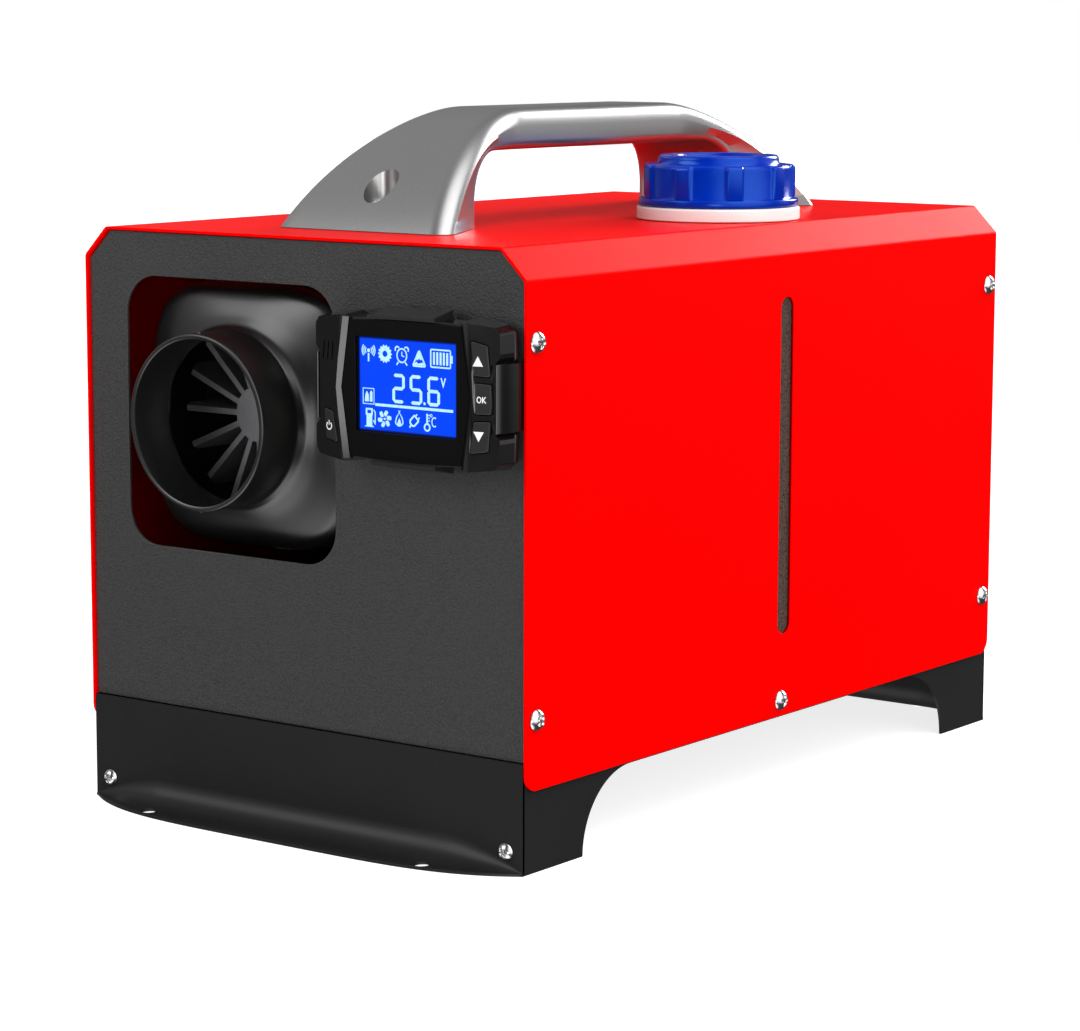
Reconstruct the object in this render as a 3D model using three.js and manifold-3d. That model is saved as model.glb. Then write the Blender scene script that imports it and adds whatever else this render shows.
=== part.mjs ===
// Portable diesel air heater: a bent-sheet case with a carrying handle, a five-litre fuel tank and a
// forced-air burner inside. Millimetres, +Z up, origin on the floor under the middle of the case.
// The warm-air outlet and the clip-on controller are on the front, which faces -Y.

import * as THREE from 'three';
import { mergeVertices } from 'three/addons/utils/BufferGeometryUtils.js';
import Module from 'manifold-3d';

const wasm = await Module();
wasm.setup();

// ---- driving dimensions ----

const gap = 0.3; // clearance between pieces that touch
const sheet = 1.2; // steel sheet of the case

const shellWidth = 237;
const shellLength = 374;
const shellTop = 250;
const shellBottom = 34;
const chamferX = 12.3;
const chamferZ = 12.4;
const cornerRound = 7; // lower corners of the red side walls

const trayTop = 45.5; // upper face of the tray's deck
const archFoot = 146.3; // half distance between the feet at the floor
const archCrown = 112.7; // half distance where the arch reaches its full height
const archHeight = 33.1;
const lipDepth = 19.5; // how far the floor flange reaches in front of the apron
const lipPower = 4.5; // squareness of the flange outline
const lipBend = 7;
const lipRoot = 14; // height where the bend runs into the flat apron
const lipHole = { x: 75, y: 199, r: 3.5 };

const panelRecess = 1.5; // the end panels sit behind the edge of the shell
const panelFlange = 13;
const ductX = -38; // centre line of the heater and its outlet
const ductZ = 172.3;
const windowSide = 115.4; // square opening round the outlet
const windowRound = 16;

const tubeRadius = 37; // takes a 75 mm duct
const tubeWall = 2.4;
const tubeRim = -206.5;
const rimRoll = 0.6;
const hoodFlare = [[-185, 0], [-182, 0.09], [-179.4, 0.3], [-177, 0.58], [-174.6, 0.83], [-172, 0.96],
  [-169.5, 1]]; // how far the hood has spread from the tube to the casing's outline
const hoodLag = 1.6; // the inner wall of the flare lies this much further back
const casingSide = 112;
const casingRound = 30;
const casingWall = 2.2;
const casingFront = -140;
const casingRear = 150;

const gripTop = 300;
const gripBottom = 282;
const gripHalfWidth = 22;
const footHalfWidth = 46;
const handleMiddle = -2;
const footOuter = 145.5; // from the handle's middle to the outer edge of a foot
const footInner = 100.5;
const gripHalfLength = 56;
const gripFillet = 22;
const gripRound = { outer: 8, inner: 4 };
const crest = { rise: 30, lean: 22, from: 86 }; // how the outer line leaves the foot and meets the grip
const splay = { from: 62, power: 1.5 };
const screwWell = { fromMiddle: 128.7, r: 7.5, floor: 257, bore: 3.5 };
const wellScrew = { shank: 3, length: 12, head: 6, rise: 4, edge: 1, recess: 2.5 };

const fillerX = 68.5;
const fillerY = 22;
const neckRadius = 27;
const neckBore = 23;
const neckTop = 266;
const collarRadius = 36.5;
const collarTop = 256;
const capFlange = 35.6;
const capRadius = 32.6;
const capRibRadius = 34.15;
const capRibs = 9;
const capRibPhase = -44; // degrees
const capRibWidth = 8;
const capShoulder = 274.5;
const capDiscRadius = 27;
const capTop = 278.5;

const tank = { x0: 36, x1: 114.7, y0: -170, y1: 150, z0: 50, z1: 238, wall: 2.5, round: 12 };
const slot = { y: 2, z0: 70.6, z1: 219, width: 10 };
const fillerHole = 32; // opening in the roof
const collar = { inner: 29, sleeve: 31, low: 242, round: 0.8 };
const capBore = { r: 28.5, top: 271 };
const capDish = { r: 18, depth: 1.8 };
const capRib = { root: 3, round: 1.4, above: 2, below: 0.5 };
const seal = { outer: 27, inner: 18, z0: 266.3, z1: 270.7 };
const sightStrip = { x0: 115, x1: 117, half: 8, z0: 64, z1: 226 };

const screwHead = 4.5;
const screwDome = 2.4;
const screwShank = 2;
const screwLength = 7;
const screwHole = 2.4;
const cornerScrew = { y: 180, low: 62.7, high: 213 };
const middleScrew = 41; // height of the screw in the middle of each side
const apronScrew = { x: 108.5, z: 9, head: 3.75, dome: 2 };

const vent = { r: 43, guard: 50, guardDepth: 2.7, wire: 2.4, rings: 4 }; // air inlet at the back
const guardHub = 8;
const socketPlace = { x: 70, z: 84, hole: 9 };
const socket = { flange: 13, barrel: 8.6, bore: 7, depth: 16, boreDepth: 8, rise: 2.5, lip: 3.5 };

const unionPlace = { y: -150, z: 62, bore: 4.3 };
const unionProfile = [[0, 16], [2.6, 16], [2.6, 22], [5.5, 22], [5.5, 29], [8, 29], [8, 35.7], [4, 35.7],
  [4, 40], [0, 40]];
const fuelLine = 3; // outer radius of the fuel hose
const pump = { x: -62, z: 76, y0: -100, y1: -32, r: 16, step: 4 };
const pumpStub = { inlet: 4.5, inletRun: 8, outlet: 3.5, outletRun: 6 };
const filterProfile = [[0, -147.4], [2.6, -147.4], [2.6, -141], [11, -138], [11, -116], [4, -112],
  [4, -108.3], [0, -108.3]];
const saddle = { y0: -76, y1: -56, wall: 3, post: 3, foot: 22, base: 2 };
const burnerInlet = { x: -58, y: 28, hole: 5 };

const exhaustY = -5; // the two pipes stand on the heater's centre line
const intakeY = 47;
const pipeRadius = 12;
const pipeBore = 10;
const pipeEnd = 8; // height of the pipes' lower ends
const pipeBead = 0.8;
const pipeHole = 14; // in the tray's deck
const portHole = 14.5; // in the bracket and the gasket
const casingPort = 16;
const exchangerCore = [[0, -167.6], [12, -167.6], [12.6, -160], [30, -148], [30, 14], [50, 14], [50, 20],
  [0, 20]];
const finEnvelope = [[0, -167], [41, -167], [46, -160], [46, 14], [0, 14]];
const fin = { count: 16, front: -170, rear: 14, reach: 60, thick: 2.6 };
const chamber = { r: 26, front: -120, rear: 21 };
const exhaustPort = 14;
const flame = { r: 23, bore: 20, front: -95, rear: 21, flange: 50, flangeFront: 20.3, rearFace: 36 };
const glow = { y: 28, hole: 4.5, low: 17, high: 60 };
const glowProfile = [[0, 20], [2.2, 20], [2.2, 30], [4, 32], [4, 50.5], [5.5, 50.5], [5.5, 53], [0, 53]];
const blower = { front: 36.3, rear: 58, r: 50, room: 34, wall: 5, port: 10.4, portBore: 7.5, portTop: 30 };
const shaftHole = { burner: 6, blower: 7, impeller: 2.9 };
const impeller = { y0: 44, discEnd: 47, y1: 54, disc: 30, hub: 11, vanes: 10, from: 10, to: 29, half: 0.8 };
const motorProfile = [[3, 58.3], [50, 58.3], [50, 61], [22, 61], [22, 98], [17, 101], [9, 101], [9, 104],
  [3, 104], [3, 58.3]];
const fan = { blades: 9, from: 16, to: 49, chord: 14, half: 1, pitch: 38, middle: 122 };
const hubProfile = [[0, 43], [2.5, 43], [2.5, 108], [18, 108], [20, 112], [20, 130], [12, 137], [0, 138]];
const grille = { r: 53, y0: 141, y1: 146, wire: 3, rings: 3 };
const unit = { half: 34, low: 27, high: 48, round: 4, y0: 64, y1: 104 };
const cradle = { half: 58, y0: -24, y1: 70, wall: 1.5, slotHalf: 46 }; // bracket under the heater
const gasket = { half: 38, y0: -26, y1: 72, round: 6, thick: 2.7 };

const remoteX = 69.3; // centre of the controller
const remoteZ = 192.2;
const remoteBack = -188.2;
const remoteFace = -203; // its foremost plane, at the ridges beside the lens
const remoteWaist = 44.3;
const remoteEar = 46.6;
const wingFrom = 33; // the wings fall back from here outwards
const wingFall = 0.19; // per millimetre
const backPlate = 2.5;
const ridgeMid = 34.7; // half distance between the ridges at mid height
const ridgeSlant = 0.15; // how far they close in per millimetre up or down
const lens = { mid: 32.4, half: 28.2, face: -201.5, rear: -200.5, bed: -200.2 };
const lcd = { x: 0.2, z: 1.9, width: 48.2, height: 35.9, face: -199.9, rear: -193.7 };
const lensWindow = { sides: 1.4, ends: 0.5 }; // how far it stands off the display
const tab = { half: 16, from: 28.5, front: -202.6 };
const cavity = { half: 41.5, tall: 25, front: -198.6 };
const board = { half: 40, tall: 22, rear: -191.8, front: -193.4 };
const key = { proud: 0.5, rear: -195, play: 0.4, pocketRear: -193.8 };
const clip = { outer: 47.3, play: 0.4, half: 12, front: -201.5, padHalf: 24, padTall: 20 };
// Front view of the controller, right half from the top down: tab, ear, notch for the clip.
const remoteOutline = [[17, 29.9], [18, 28.2], [27, 27.6], [29.5, 29.6], [44.4, 27.6], [46.3, 25.4],
  [remoteEar, 16.4], [remoteEar, 14.8], [remoteWaist, 12.2]];
const keys = {
  button_up: [[34.2, 22.4], [41.2, 20.7], [42.5, 8.6], [35.5, 8.8]],
  button_ok: [[36.1, 6], [42.8, 5.6], [43.2, -1.2], [42.9, -6], [36.1, -6.2]],
  button_down: [[35.4, -9.2], [42.6, -8.9], [41.6, -20.6], [33.7, -21.8]],
  button_power: [[-41.4, -8.9], [-36.3, -10], [-33.2, -22.4], [-40.2, -21]],
};

const halfShell = shellWidth / 2;
const halfLength = shellLength / 2;
const innerHalf = halfShell - sheet - gap; // outer half width of what sits inside the shell
const panelFace = halfLength - panelRecess;
const skirt = halfLength;
const casingLow = ductZ - casingSide / 2;
const beyond = halfShell + 12; // reach of cutters that pass right through the case
const sideScrews = [[-cornerScrew.y, cornerScrew.high], [-cornerScrew.y, cornerScrew.low], [0, middleScrew],
  [cornerScrew.y, cornerScrew.low], [cornerScrew.y, cornerScrew.high]];

// ---- solids and meshes ----

function toSolid(geometry) {
  const bare = geometry.index ? geometry.toNonIndexed() : geometry.clone();
  bare.deleteAttribute('normal');
  bare.deleteAttribute('uv');
  const merged = mergeVertices(bare, 1e-4);
  return new wasm.Manifold(new wasm.Mesh({
    numProp: 3,
    vertProperties: Float32Array.from(merged.attributes.position.array),
    triVerts: Uint32Array.from(merged.index.array),
  }));
}

function toGeometry(solid) {
  const mesh = solid.getMesh();
  const geometry = new THREE.BufferGeometry();
  geometry.setAttribute('position', new THREE.BufferAttribute(mesh.vertProperties, 3));
  geometry.setIndex(new THREE.BufferAttribute(mesh.triVerts, 1));
  geometry.computeVertexNormals();
  return geometry;
}

const join = (first, ...others) => others.reduce((sum, item) => sum.add(item), first);
const cut = (first, ...others) => others.reduce((left, item) => left.subtract(item), first);

function signedVolume(points, faces) {
  let volume = 0;
  for (let i = 0; i < faces.length; i += 3) {
    const [a, b, c] = [faces[i], faces[i + 1], faces[i + 2]].map((k) => points[k]);
    volume += a.dot(b.clone().cross(c)) / 6;
  }
  return volume;
}

// Skin over a list of rings with equal point counts. A closed loft runs round like a hose bent into a
// circle; an open one is shut at both ends by fans to the middle of the ring.
function loft(rings, closed = false) {
  const count = rings[0].length;
  const points = rings.flat();
  const faces = [];
  const spans = closed ? rings.length : rings.length - 1;
  for (let i = 0; i < spans; i += 1) {
    const here = i * count;
    const next = ((i + 1) % rings.length) * count;
    for (let j = 0; j < count; j += 1) {
      const k = (j + 1) % count;
      faces.push(here + j, next + j, next + k, here + j, next + k, here + k);
    }
  }
  if (!closed) {
    for (const [ring, start, flip] of [[rings[0], 0, false], [rings.at(-1), spans * count, true]]) {
      const middle = ring.reduce((sum, p) => sum.add(p), new THREE.Vector3()).divideScalar(count);
      const hub = points.push(middle) - 1;
      for (let j = 0; j < count; j += 1) {
        const k = (j + 1) % count;
        faces.push(hub, start + (flip ? k : j), start + (flip ? j : k));
      }
    }
  }
  if (signedVolume(points, faces) < 0) faces.reverse();
  const geometry = new THREE.BufferGeometry().setFromPoints(points);
  geometry.setIndex(faces);
  return toSolid(geometry);
}

function polygon(points, holes = []) {
  const shape = new THREE.Shape(points.map(([x, y]) => new THREE.Vector2(x, y)));
  shape.holes = holes;
  return shape;
}

function roundedRectangle(x0, y0, x1, y1, r) {
  const shape = new THREE.Shape();
  shape.moveTo(x0 + r, y0);
  shape.lineTo(x1 - r, y0);
  shape.absarc(x1 - r, y0 + r, r, -Math.PI / 2, 0, false);
  shape.lineTo(x1, y1 - r);
  shape.absarc(x1 - r, y1 - r, r, 0, Math.PI / 2, false);
  shape.lineTo(x0 + r, y1);
  shape.absarc(x0 + r, y1 - r, r, Math.PI / 2, Math.PI, false);
  shape.lineTo(x0, y0 + r);
  shape.absarc(x0 + r, y0 + r, r, Math.PI, Math.PI * 1.5, false);
  return shape;
}

function circle(x, y, r) {
  const shape = new THREE.Shape();
  shape.absarc(x, y, r, 0, Math.PI * 2, false);
  return shape;
}

const extrudeBy = (shape, depth, curveSegments) =>
  new THREE.ExtrudeGeometry(shape, { depth, curveSegments, bevelEnabled: false });

// A shape drawn in (x, y) and pulled along Z.
function alongZ(shape, z0, z1, segments = 6) {
  return toSolid(extrudeBy(shape, z1 - z0, segments).translate(0, 0, z0));
}

// A shape drawn in (x, z) and pulled along Y.
function alongY(shape, y0, y1, segments = 6) {
  return toSolid(extrudeBy(shape, y1 - y0, segments).rotateX(Math.PI / 2).translate(0, y1, 0));
}

// A shape drawn in (y, z) and pulled along X.
const turnToX = new THREE.Matrix4().set(0, 0, 1, 0, 1, 0, 0, 0, 0, 1, 0, 0, 0, 0, 0, 1);
function alongX(shape, x0, x1, segments = 6) {
  return toSolid(extrudeBy(shape, x1 - x0, segments).applyMatrix4(turnToX).translate(x0, 0, 0));
}

function box(x0, x1, y0, y1, z0, z1) {
  const geometry = new THREE.BoxGeometry(x1 - x0, y1 - y0, z1 - z0);
  return toSolid(geometry.translate((x0 + x1) / 2, (y0 + y1) / 2, (z0 + z1) / 2));
}

// A turned piece. The profile lists [radius, height] upwards on the outside and back down inside.
function turned(profile, segments, axis, x, y, z) {
  const points = profile.map(([r, h]) => new THREE.Vector2(r, h));
  const geometry = new THREE.LatheGeometry(points, segments);
  if (axis === 'z') geometry.rotateX(Math.PI / 2);
  if (axis === 'x') geometry.rotateZ(-Math.PI / 2);
  return toSolid(geometry.translate(x, y, z));
}

const rod = (r, h0, h1, segments, axis, x, y, z) =>
  turned([[0, h0], [r, h0], [r, h1], [0, h1]], segments, axis, x, y, z);

const tube = (r, bore, h0, h1, segments, axis, x, y, z) =>
  turned([[bore, h0], [r, h0], [r, h1], [bore, h1], [bore, h0]], segments, axis, x, y, z);

function hose(points, r) {
  const path = new THREE.CatmullRomCurve3(points.map((p) => new THREE.Vector3(...p)), false, 'centripetal');
  const section = circle(0, 0, r);
  return toSolid(new THREE.ExtrudeGeometry(section, { steps: 16, curveSegments: 4, extrudePath: path }));
}

const heater = new THREE.Group();

function add(name, solid, color, roughness, metalness) {
  const material = new THREE.MeshStandardMaterial({ color, roughness, metalness });
  const mesh = new THREE.Mesh(toGeometry(solid), material);
  mesh.name = name;
  heater.add(mesh);
}

// ---- case ----

// The bent outline of the shell or, pushed in by a distance, of what lies inside it.
function roofOutline(inset) {
  const x = halfShell - inset;
  const z = shellTop - inset;
  const slant = inset * 0.41; // a chamfer pushed in moves its ends by tan(22.5 deg) of the inset
  return [[x, shellTop - chamferZ - slant], [halfShell - chamferX - slant, z],
    [-(halfShell - chamferX - slant), z], [-x, shellTop - chamferZ - slant]];
}

function shell() {
  const outer = [[halfShell, shellBottom], ...roofOutline(0), [-halfShell, shellBottom]];
  const inner = [[sheet - halfShell, shellBottom], ...roofOutline(sheet).reverse(),
    [halfShell - sheet, shellBottom]];
  const side = new THREE.Shape();
  side.moveTo(halfLength, shellTop + 1);
  side.lineTo(-halfLength, shellTop + 1);
  side.lineTo(-halfLength, shellBottom + cornerRound);
  side.absarc(cornerRound - halfLength, shellBottom + cornerRound, cornerRound, Math.PI, Math.PI * 1.5);
  side.lineTo(halfLength - cornerRound, shellBottom);
  side.absarc(halfLength - cornerRound, shellBottom + cornerRound, cornerRound, -Math.PI / 2, 0);
  const half = slot.width / 2;
  const sightSlot = roundedRectangle(slot.y - half, slot.z0, slot.y + half, slot.z1, half - 0.01);
  const holes = sideScrews.map(([y, z]) => rod(screwHole, -beyond, beyond, 8, 'x', 0, y, z));
  const wells = [-1, 1].map((end) => screwWell.fromMiddle * end + handleMiddle)
    .map((y) => rod(screwWell.bore, shellTop - 5, shellTop + 5, 8, 'z', 0, y, 0));
  return cut(
    alongY(polygon([...outer, ...inner]), -halfLength, halfLength)
      .intersect(alongX(side, -halfShell - 1, halfShell + 1)),
    alongX(sightSlot, innerHalf, beyond),
    rod(fillerHole, shellTop - 5, shellTop + 5, 28, 'z', fillerX, fillerY, 0),
    ...holes,
    ...wells,
  );
}

const lipReach = (x) => lipDepth * (1 - (Math.abs(x) / innerHalf) ** lipPower);

// Apron foot: straight sheet that sweeps forward into the floor flange. Drawn for the front, at -Y.
function lip(sign) {
  const stations = 18;
  const rings = [];
  for (let i = 0; i <= stations; i += 1) {
    const x = innerHalf * Math.sin((i / stations - 0.5) * Math.PI);
    const reach = Math.max(lipReach(x), 0.4);
    const bend = Math.min(lipBend, reach * 0.6);
    const arc = (r, from, to) => [0, 1, 2, 3].map((k) => {
      const angle = from + ((to - from) * k) / 3;
      return [-skirt - bend + r * Math.cos(angle), sheet + bend + r * Math.sin(angle)];
    });
    const section = [[-skirt, lipRoot], ...arc(bend, 0, -Math.PI / 2), [-skirt - reach, sheet],
      [-skirt - reach, 0], ...arc(bend + sheet, -Math.PI / 2, 0), [-skirt + sheet, lipRoot]];
    rings.push(section.map(([y, z]) => new THREE.Vector3(x, y * sign, z)));
  }
  const holes = [-1, 1].map((side) =>
    rod(lipHole.r, -1, 6, 12, 'z', side * lipHole.x, -lipHole.y * sign, 0));
  return cut(loft(rings), ...holes);
}

function baseTray() {
  const pan = cut(
    box(-innerHalf, innerHalf, -skirt, skirt, 0, trayTop),
    box(-innerHalf + sheet, innerHalf - sheet, -skirt + sheet, skirt - sheet, -1, trayTop - sheet),
    box(-beyond, beyond, -skirt - 1, -skirt + sheet, -1, lipRoot - 1),
    box(-beyond, beyond, skirt - sheet, skirt + 1, -1, lipRoot - 1),
  );
  const arch = new THREE.Shape();
  arch.moveTo(-archFoot, -1);
  arch.lineTo(archFoot, -1);
  arch.absellipse(archCrown, 0, archFoot - archCrown, archHeight, 0, Math.PI / 2, false);
  arch.absellipse(-archCrown, 0, archFoot - archCrown, archHeight, Math.PI / 2, Math.PI, false);
  const holes = [-1, 1].map((side) =>
    rod(screwHole, -halfLength - 5, halfLength + 5, 8, 'y', side * apronScrew.x, 0, apronScrew.z));
  const pipes = [exhaustY, intakeY].map((y) =>
    rod(pipeHole, trayTop - 5, trayTop + 5, 20, 'z', ductX, y, 0));
  return cut(
    join(cut(pan, alongX(arch, -beyond, beyond, 8)), lip(1), lip(-1)),
    ...holes,
    ...pipes,
    rod(screwHole, -beyond, beyond, 8, 'x', 0, 0, middleScrew),
  );
}

// End panel with flanges folded inwards. Drawn for the front; sign -1 turns it to the rear.
function endPanel(sign, ...openings) {
  const inset = sheet + gap;
  const low = trayTop + gap;
  const outline = polygon([[innerHalf, low], ...roofOutline(inset), [-innerHalf, low]]);
  const face = sign * -panelFace;
  const span = (from, to) => [Math.min(face + sign * from, face + sign * to),
    Math.max(face + sign * from, face + sign * to)];
  const tabs = [-1, 1].map((side) => {
    const x = [side * innerHalf, side * (innerHalf - sheet)].sort((a, b) => a - b);
    return box(...x, ...span(0, panelFlange), low, shellTop - chamferZ - 4);
  });
  const holes = [cornerScrew.low, cornerScrew.high].map((z) =>
    rod(screwHole, -beyond, beyond, 8, 'x', 0, -cornerScrew.y * sign, z));
  return cut(
    join(alongY(outline, ...span(0, sheet)), ...tabs,
      box(-innerHalf, innerHalf, ...span(0, panelFlange), low, low + sheet)),
    ...holes,
    ...openings,
  );
}

function frontPanel() {
  const half = windowSide / 2;
  const opening = roundedRectangle(ductX - half, ductZ - half, ductX + half, ductZ + half, windowRound);
  return endPanel(1, alongY(opening, -panelFace - 5, -panelFace + 5));
}

function rearPanel() {
  return endPanel(-1,
    rod(vent.r, panelFace - 5, panelFace + 5, 28, 'y', ductX, 0, ductZ),
    rod(socketPlace.hole, panelFace - 5, panelFace + 5, 16, 'y', socketPlace.x, 0, socketPlace.z));
}

// Finger guard: rings on four spokes, screwed over the air inlet at the back.
function ringGuard(outer, y0, y1, ringWidth, rings, segments) {
  const step = (outer - guardHub) / rings;
  const hoops = [];
  for (let i = 0; i < rings; i += 1) {
    const r = outer - i * step;
    hoops.push(tube(r, r - ringWidth, y0, y1, segments, 'y', ductX, 0, ductZ));
  }
  const spoke = ringWidth / 2;
  const reach = outer - ringWidth / 2;
  const bars = [
    box(ductX - reach, ductX + reach, y0, y1, ductZ - spoke, ductZ + spoke),
    box(ductX - spoke, ductX + spoke, y0, y1, ductZ - reach, ductZ + reach),
  ];
  return join(rod(guardHub, y0, y1, 12, 'y', ductX, 0, ductZ), ...hoops, ...bars);
}

// ---- handle ----

// Half width of the handle along its length: a plain grip that splays out to broad feet.
function handleHalfWidth(y) {
  const t = Math.max(0, Math.abs(y) - splay.from) / (footOuter - splay.from);
  return gripHalfWidth + (footHalfWidth - gripHalfWidth) * t ** splay.power;
}

// Outer and inner edge of the side view, from the front foot (0) to the middle of the grip (1).
function handleEdges() {
  const base = shellTop + gap;
  const outer = new THREE.CurvePath();
  outer.add(new THREE.CubicBezierCurve3(
    new THREE.Vector3(0, -footOuter, base), new THREE.Vector3(0, -footOuter + crest.lean, base + crest.rise),
    new THREE.Vector3(0, -crest.from, gripTop), new THREE.Vector3(0, -gripHalfLength, gripTop)));
  const inner = new THREE.CurvePath();
  const corner = gripBottom - gripFillet;
  const bow = gripFillet * 0.5523; // control length of a quarter circle
  inner.add(new THREE.LineCurve3(
    new THREE.Vector3(0, -footInner, base), new THREE.Vector3(0, -footInner, corner)));
  inner.add(new THREE.CubicBezierCurve3(
    new THREE.Vector3(0, -footInner, corner), new THREE.Vector3(0, -footInner, corner + bow),
    new THREE.Vector3(0, -footInner + gripFillet - bow, gripBottom),
    new THREE.Vector3(0, -footInner + gripFillet, gripBottom)));
  inner.add(new THREE.LineCurve3(
    new THREE.Vector3(0, -footInner + gripFillet, gripBottom),
    new THREE.Vector3(0, -gripHalfLength, gripBottom)));
  return { outer, inner };
}

// One cross section between an outer and an inner edge point, with rounded corners.
function handleSection(out, into) {
  const across = out.clone().sub(into);
  const height = across.length();
  const up = across.clone().normalize();
  const middle = out.clone().add(into).multiplyScalar(0.5);
  const outerWidth = handleHalfWidth(out.y);
  const innerWidth = handleHalfWidth(into.y);
  const corners = [[1, 1, gripRound.outer], [-1, 1, gripRound.outer], [-1, -1, gripRound.inner],
    [1, -1, gripRound.inner]];
  return corners.flatMap(([sx, sv, r], index) => [0, 1, 2, 3].map((k) => {
    const angle = (index * 90 + k * 30) * (Math.PI / 180);
    const width = sv > 0 ? outerWidth : innerWidth;
    const x = sx * (width - r) + r * Math.cos(angle);
    const v = sv * (height / 2 - r) + r * Math.sin(angle);
    return middle.clone().addScaledVector(up, v).setX(x);
  }));
}

function handle() {
  const { outer, inner } = handleEdges();
  const steps = 11;
  const rings = [];
  for (let i = 0; i <= steps; i += 1) {
    rings.push(handleSection(outer.getPointAt(i / steps), inner.getPointAt(i / steps)));
  }
  const rear = rings.map((ring) => ring.map((p) => p.clone().setY(-p.y)));
  const bar = loft([...rings, ...rear.reverse()]);
  const wells = [-1, 1].flatMap((end) => {
    const y = screwWell.fromMiddle * end;
    return [rod(screwWell.r, screwWell.floor, gripTop, 20, 'z', 0, y, 0),
      rod(screwWell.bore, shellTop, gripTop, 8, 'z', 0, y, 0)];
  });
  return cut(bar, ...wells).translate(0, handleMiddle, 0);
}

function handleScrew(end) {
  const base = screwWell.floor + gap;
  const { shank, length, head, rise, edge, recess } = wellScrew;
  const profile = [[0, shellTop - length], [shank, shellTop - length], [shank, base], [head, base],
    [head, base + rise], [shank, base + rise + edge], [shank, base + recess], [0, base + recess]];
  return turned(profile, 12, 'z', 0, screwWell.fromMiddle * end + handleMiddle, 0);
}

// ---- fasteners ----

function domedScrew(head, dome, axis, sign, x, y, z) {
  const profile = [[0, -screwLength], [screwShank, -screwLength], [screwShank, 0], [head, 0],
    [head * 0.92, dome * 0.5],
    [head * 0.62, dome * 0.87], [0, dome]];
  const solid = turned(profile, 10, axis, 0, 0, 0);
  const outward = sign > 0 ? solid : solid.rotate([0, 0, 180]);
  return outward.translate(x, y, z);
}

// ---- fuel ----

function roundedTank(inset) {
  const { x0, x1, y0, y1, z0, z1, round } = tank;
  const r = round - inset;
  const outline = roundedRectangle(y0 + inset + r, z0 + inset + r, y1 - inset - r, z1 - inset - r, 1);
  const geometry = new THREE.ExtrudeGeometry(outline, {
    depth: x1 - x0 - 2 * inset - 2 * r,
    curveSegments: 2,
    bevelEnabled: true,
    bevelThickness: r,
    bevelSize: r,
    bevelSegments: 2,
  });
  return toSolid(geometry.applyMatrix4(turnToX).translate(x0 + inset + r, 0, 0));
}

function fuelTank() {
  const neck = rod(neckRadius, tank.z1 - 3, neckTop, 24, 'z', fillerX, fillerY, 0);
  const union = rod(unionPlace.bore, tank.x0 - 1, tank.x0 + 5, 10, 'x', 0, unionPlace.y, unionPlace.z);
  return cut(join(roundedTank(0), neck), roundedTank(tank.wall),
    rod(neckBore, tank.z1 - 6, neckTop + 1, 24, 'z', fillerX, fillerY, 0), union);
}

function fillerCollar() {
  const { inner, sleeve, low, round } = collar;
  const base = shellTop + gap;
  const profile = [[inner, low], [sleeve, low], [sleeve, base], [collarRadius, base],
    [collarRadius, collarTop - round], [collarRadius - round, collarTop], [inner, collarTop], [inner, low]];
  return turned(profile, 30, 'z', fillerX, fillerY, 0);
}

function fuelCap() {
  const low = collarTop + gap;
  const body = turned([[0, low], [capFlange, low], [capFlange, low + 3], [capRadius, low + 4],
    [capRadius, capShoulder - 2], [capRadius - 1.5, capShoulder], [capDiscRadius, capShoulder],
    [capDiscRadius - 1, capTop], [capDish.r + 1, capTop], [capDish.r, capTop - capDish.depth],
    [0, capTop - capDish.depth]], 36, 'z', 0, 0, 0);
  const rib = roundedRectangle(capRadius - capRib.root, -capRibWidth / 2, capRibRadius, capRibWidth / 2,
    capRib.round);
  const ribs = [];
  for (let i = 0; i < capRibs; i += 1) {
    ribs.push(alongZ(rib, low + capRib.above, capShoulder - capRib.below, 1)
      .rotate([0, 0, capRibPhase + (i * 360) / capRibs]));
  }
  const bore = rod(capBore.r, low - 1, capBore.top, 24, 'z', 0, 0, 0);
  return cut(join(body, ...ribs), bore).translate(fillerX, fillerY, 0);
}

function tankUnion() {
  return turned(unionProfile, 10, 'x', 0, unionPlace.y, unionPlace.z);
}

function fuelHoseTank() {
  const { y, z } = unionPlace;
  return hose([[15.7, y, z], [6, y, z], [-8, y - 8, z + 1], [-25, y - 17, z + 6], [-45, y - 20, z + 12],
    [-58, y - 14, pump.z], [pump.x, y - 4, pump.z], [pump.x, y + 2.3, pump.z]], fuelLine);
}

function fuelFilter() {
  return turned(filterProfile, 14, 'y', pump.x, 0, pump.z);
}

function fuelPump() {
  const { x, z, y0, y1, r, step } = pump;
  const { inlet, inletRun, outlet, outletRun } = pumpStub;
  return turned([[0, y0 - inletRun], [inlet, y0 - inletRun], [inlet, y0], [r - step, y0], [r - step, y0 + 6],
    [r, y0 + 8], [r, y1 - 12], [r - step, y1 - 10], [r - step, y1], [outlet, y1], [outlet, y1 + outletRun],
    [0, y1 + outletRun]], 20, 'y', x, 0, z);
}

// Rubber-lined saddle that holds the pump above the deck.
function pumpBracket() {
  const { x, z, r } = pump;
  const { y0, y1, wall, post, foot, base } = saddle;
  const inner = r + gap;
  const deck = trayTop + gap;
  return join(
    tube(inner + wall, inner, y0, y1, 20, 'y', x, 0, z),
    box(x - post, x + post, y0, y1, deck + base / 2, z - inner - 1),
    box(x - foot, x + foot, y0, y1, deck, deck + base),
  );
}

function fuelHosePump() {
  const { x, z, y1 } = pump;
  const foot = burnerInlet;
  return hose([[x, y1 + 6.3, z], [x, y1 + 16, z], [x + 1, 0, z + 1], [x + 3, 18, z + 9],
    [foot.x, foot.y, z + 26], [foot.x, foot.y, z + 38], [foot.x, foot.y, 125]], fuelLine);
}

// ---- heater ----

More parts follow.
